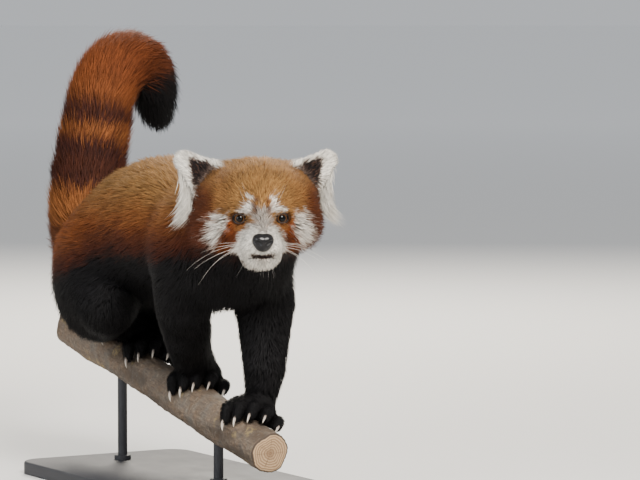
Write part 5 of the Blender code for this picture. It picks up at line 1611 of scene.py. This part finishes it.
class PANDA_OT_coat(PandaOperator, bpy.types.Operator):
    """Roots the coat's tufts on the skin, with the long hair of the ears"""

    bl_idname = "panda.coat"
    bl_label = "Coat"

    def execute(self, context):
        make_coat(bpy.data.objects["skin"], context.scene.panda_coat)
        add_tassels(context.scene.panda_coat)
        return {"FINISHED"}


class PANDA_OT_face(PandaOperator, bpy.types.Operator):
    """Adds the eyes with their rims, the nose pad and the whiskers"""

    bl_idname = "panda.face"
    bl_label = "Eyes, nose and whiskers"

    def execute(self, context):
        make_eyes(context.scene.panda_colours)
        make_nose()
        make_whiskers(context.scene.panda_coat)
        return {"FINISHED"}


class PANDA_OT_claws(PandaOperator, bpy.types.Operator):
    """Adds the claws of the four feet"""

    bl_idname = "panda.claws"
    bl_label = "Claws"

    def execute(self, context):
        make_claws()
        return {"FINISHED"}


class PANDA_OT_perch(PandaOperator, bpy.types.Operator):
    """Builds the cut length of branch"""

    bl_idname = "panda.perch"
    bl_label = "Branch"

    def execute(self, context):
        make_perch(context.scene.panda_colours)
        return {"FINISHED"}


class PANDA_OT_stand(PandaOperator, bpy.types.Operator):
    """Builds the base and the two rods"""

    bl_idname = "panda.stand"
    bl_label = "Stand"

    def execute(self, context):
        make_stand(context.scene.panda_colours)
        return {"FINISHED"}


class PANDA_OT_stage(PandaOperator, bpy.types.Operator):
    """Sets up the floor, the lights and the camera"""

    bl_idname = "panda.stage"
    bl_label = "Floor, lights and camera"

    def execute(self, context):
        make_stage(context.scene.panda_stage)
        return {"FINISHED"}


OPERATORS = (PANDA_OT_skin, PANDA_OT_coat, PANDA_OT_face, PANDA_OT_claws, PANDA_OT_perch, PANDA_OT_stand, PANDA_OT_stage)


class PANDA_PT_panel(bpy.types.Panel):
    """Lists the steps that build the model, and its settings"""

    bl_label = "Red panda"
    bl_space_type = "VIEW_3D"
    bl_region_type = "UI"
    bl_category = "Red panda"

    def draw(self, context):
        for operator in OPERATORS:
            self.layout.operator(operator.bl_idname)
        for settings in (context.scene.panda_colours, context.scene.panda_coat, context.scene.panda_stage):
            for name in settings.bl_rna.properties.keys():
                if name not in {"rna_type", "name"}:
                    self.layout.prop(settings, name)


CLASSES = (PandaColours, PandaCoat, PandaStage, *OPERATORS, PANDA_PT_panel)


def register():
    for cls in CLASSES:
        bpy.utils.register_class(cls)
    bpy.types.Scene.panda_colours = PointerProperty(type=PandaColours)
    bpy.types.Scene.panda_coat = PointerProperty(type=PandaCoat)
    bpy.types.Scene.panda_stage = PointerProperty(type=PandaStage)


def unregister():
    del bpy.types.Scene.panda_stage
    del bpy.types.Scene.panda_coat
    del bpy.types.Scene.panda_colours
    for cls in reversed(CLASSES):
        bpy.utils.unregister_class(cls)


def main():
    register()
    bpy.ops.panda.stage()
    bpy.ops.panda.skin()
    bpy.ops.panda.coat()
    bpy.ops.panda.face()
    bpy.ops.panda.claws()
    bpy.ops.panda.perch()
    bpy.ops.panda.stand()


if __name__ == "__main__":
    main()
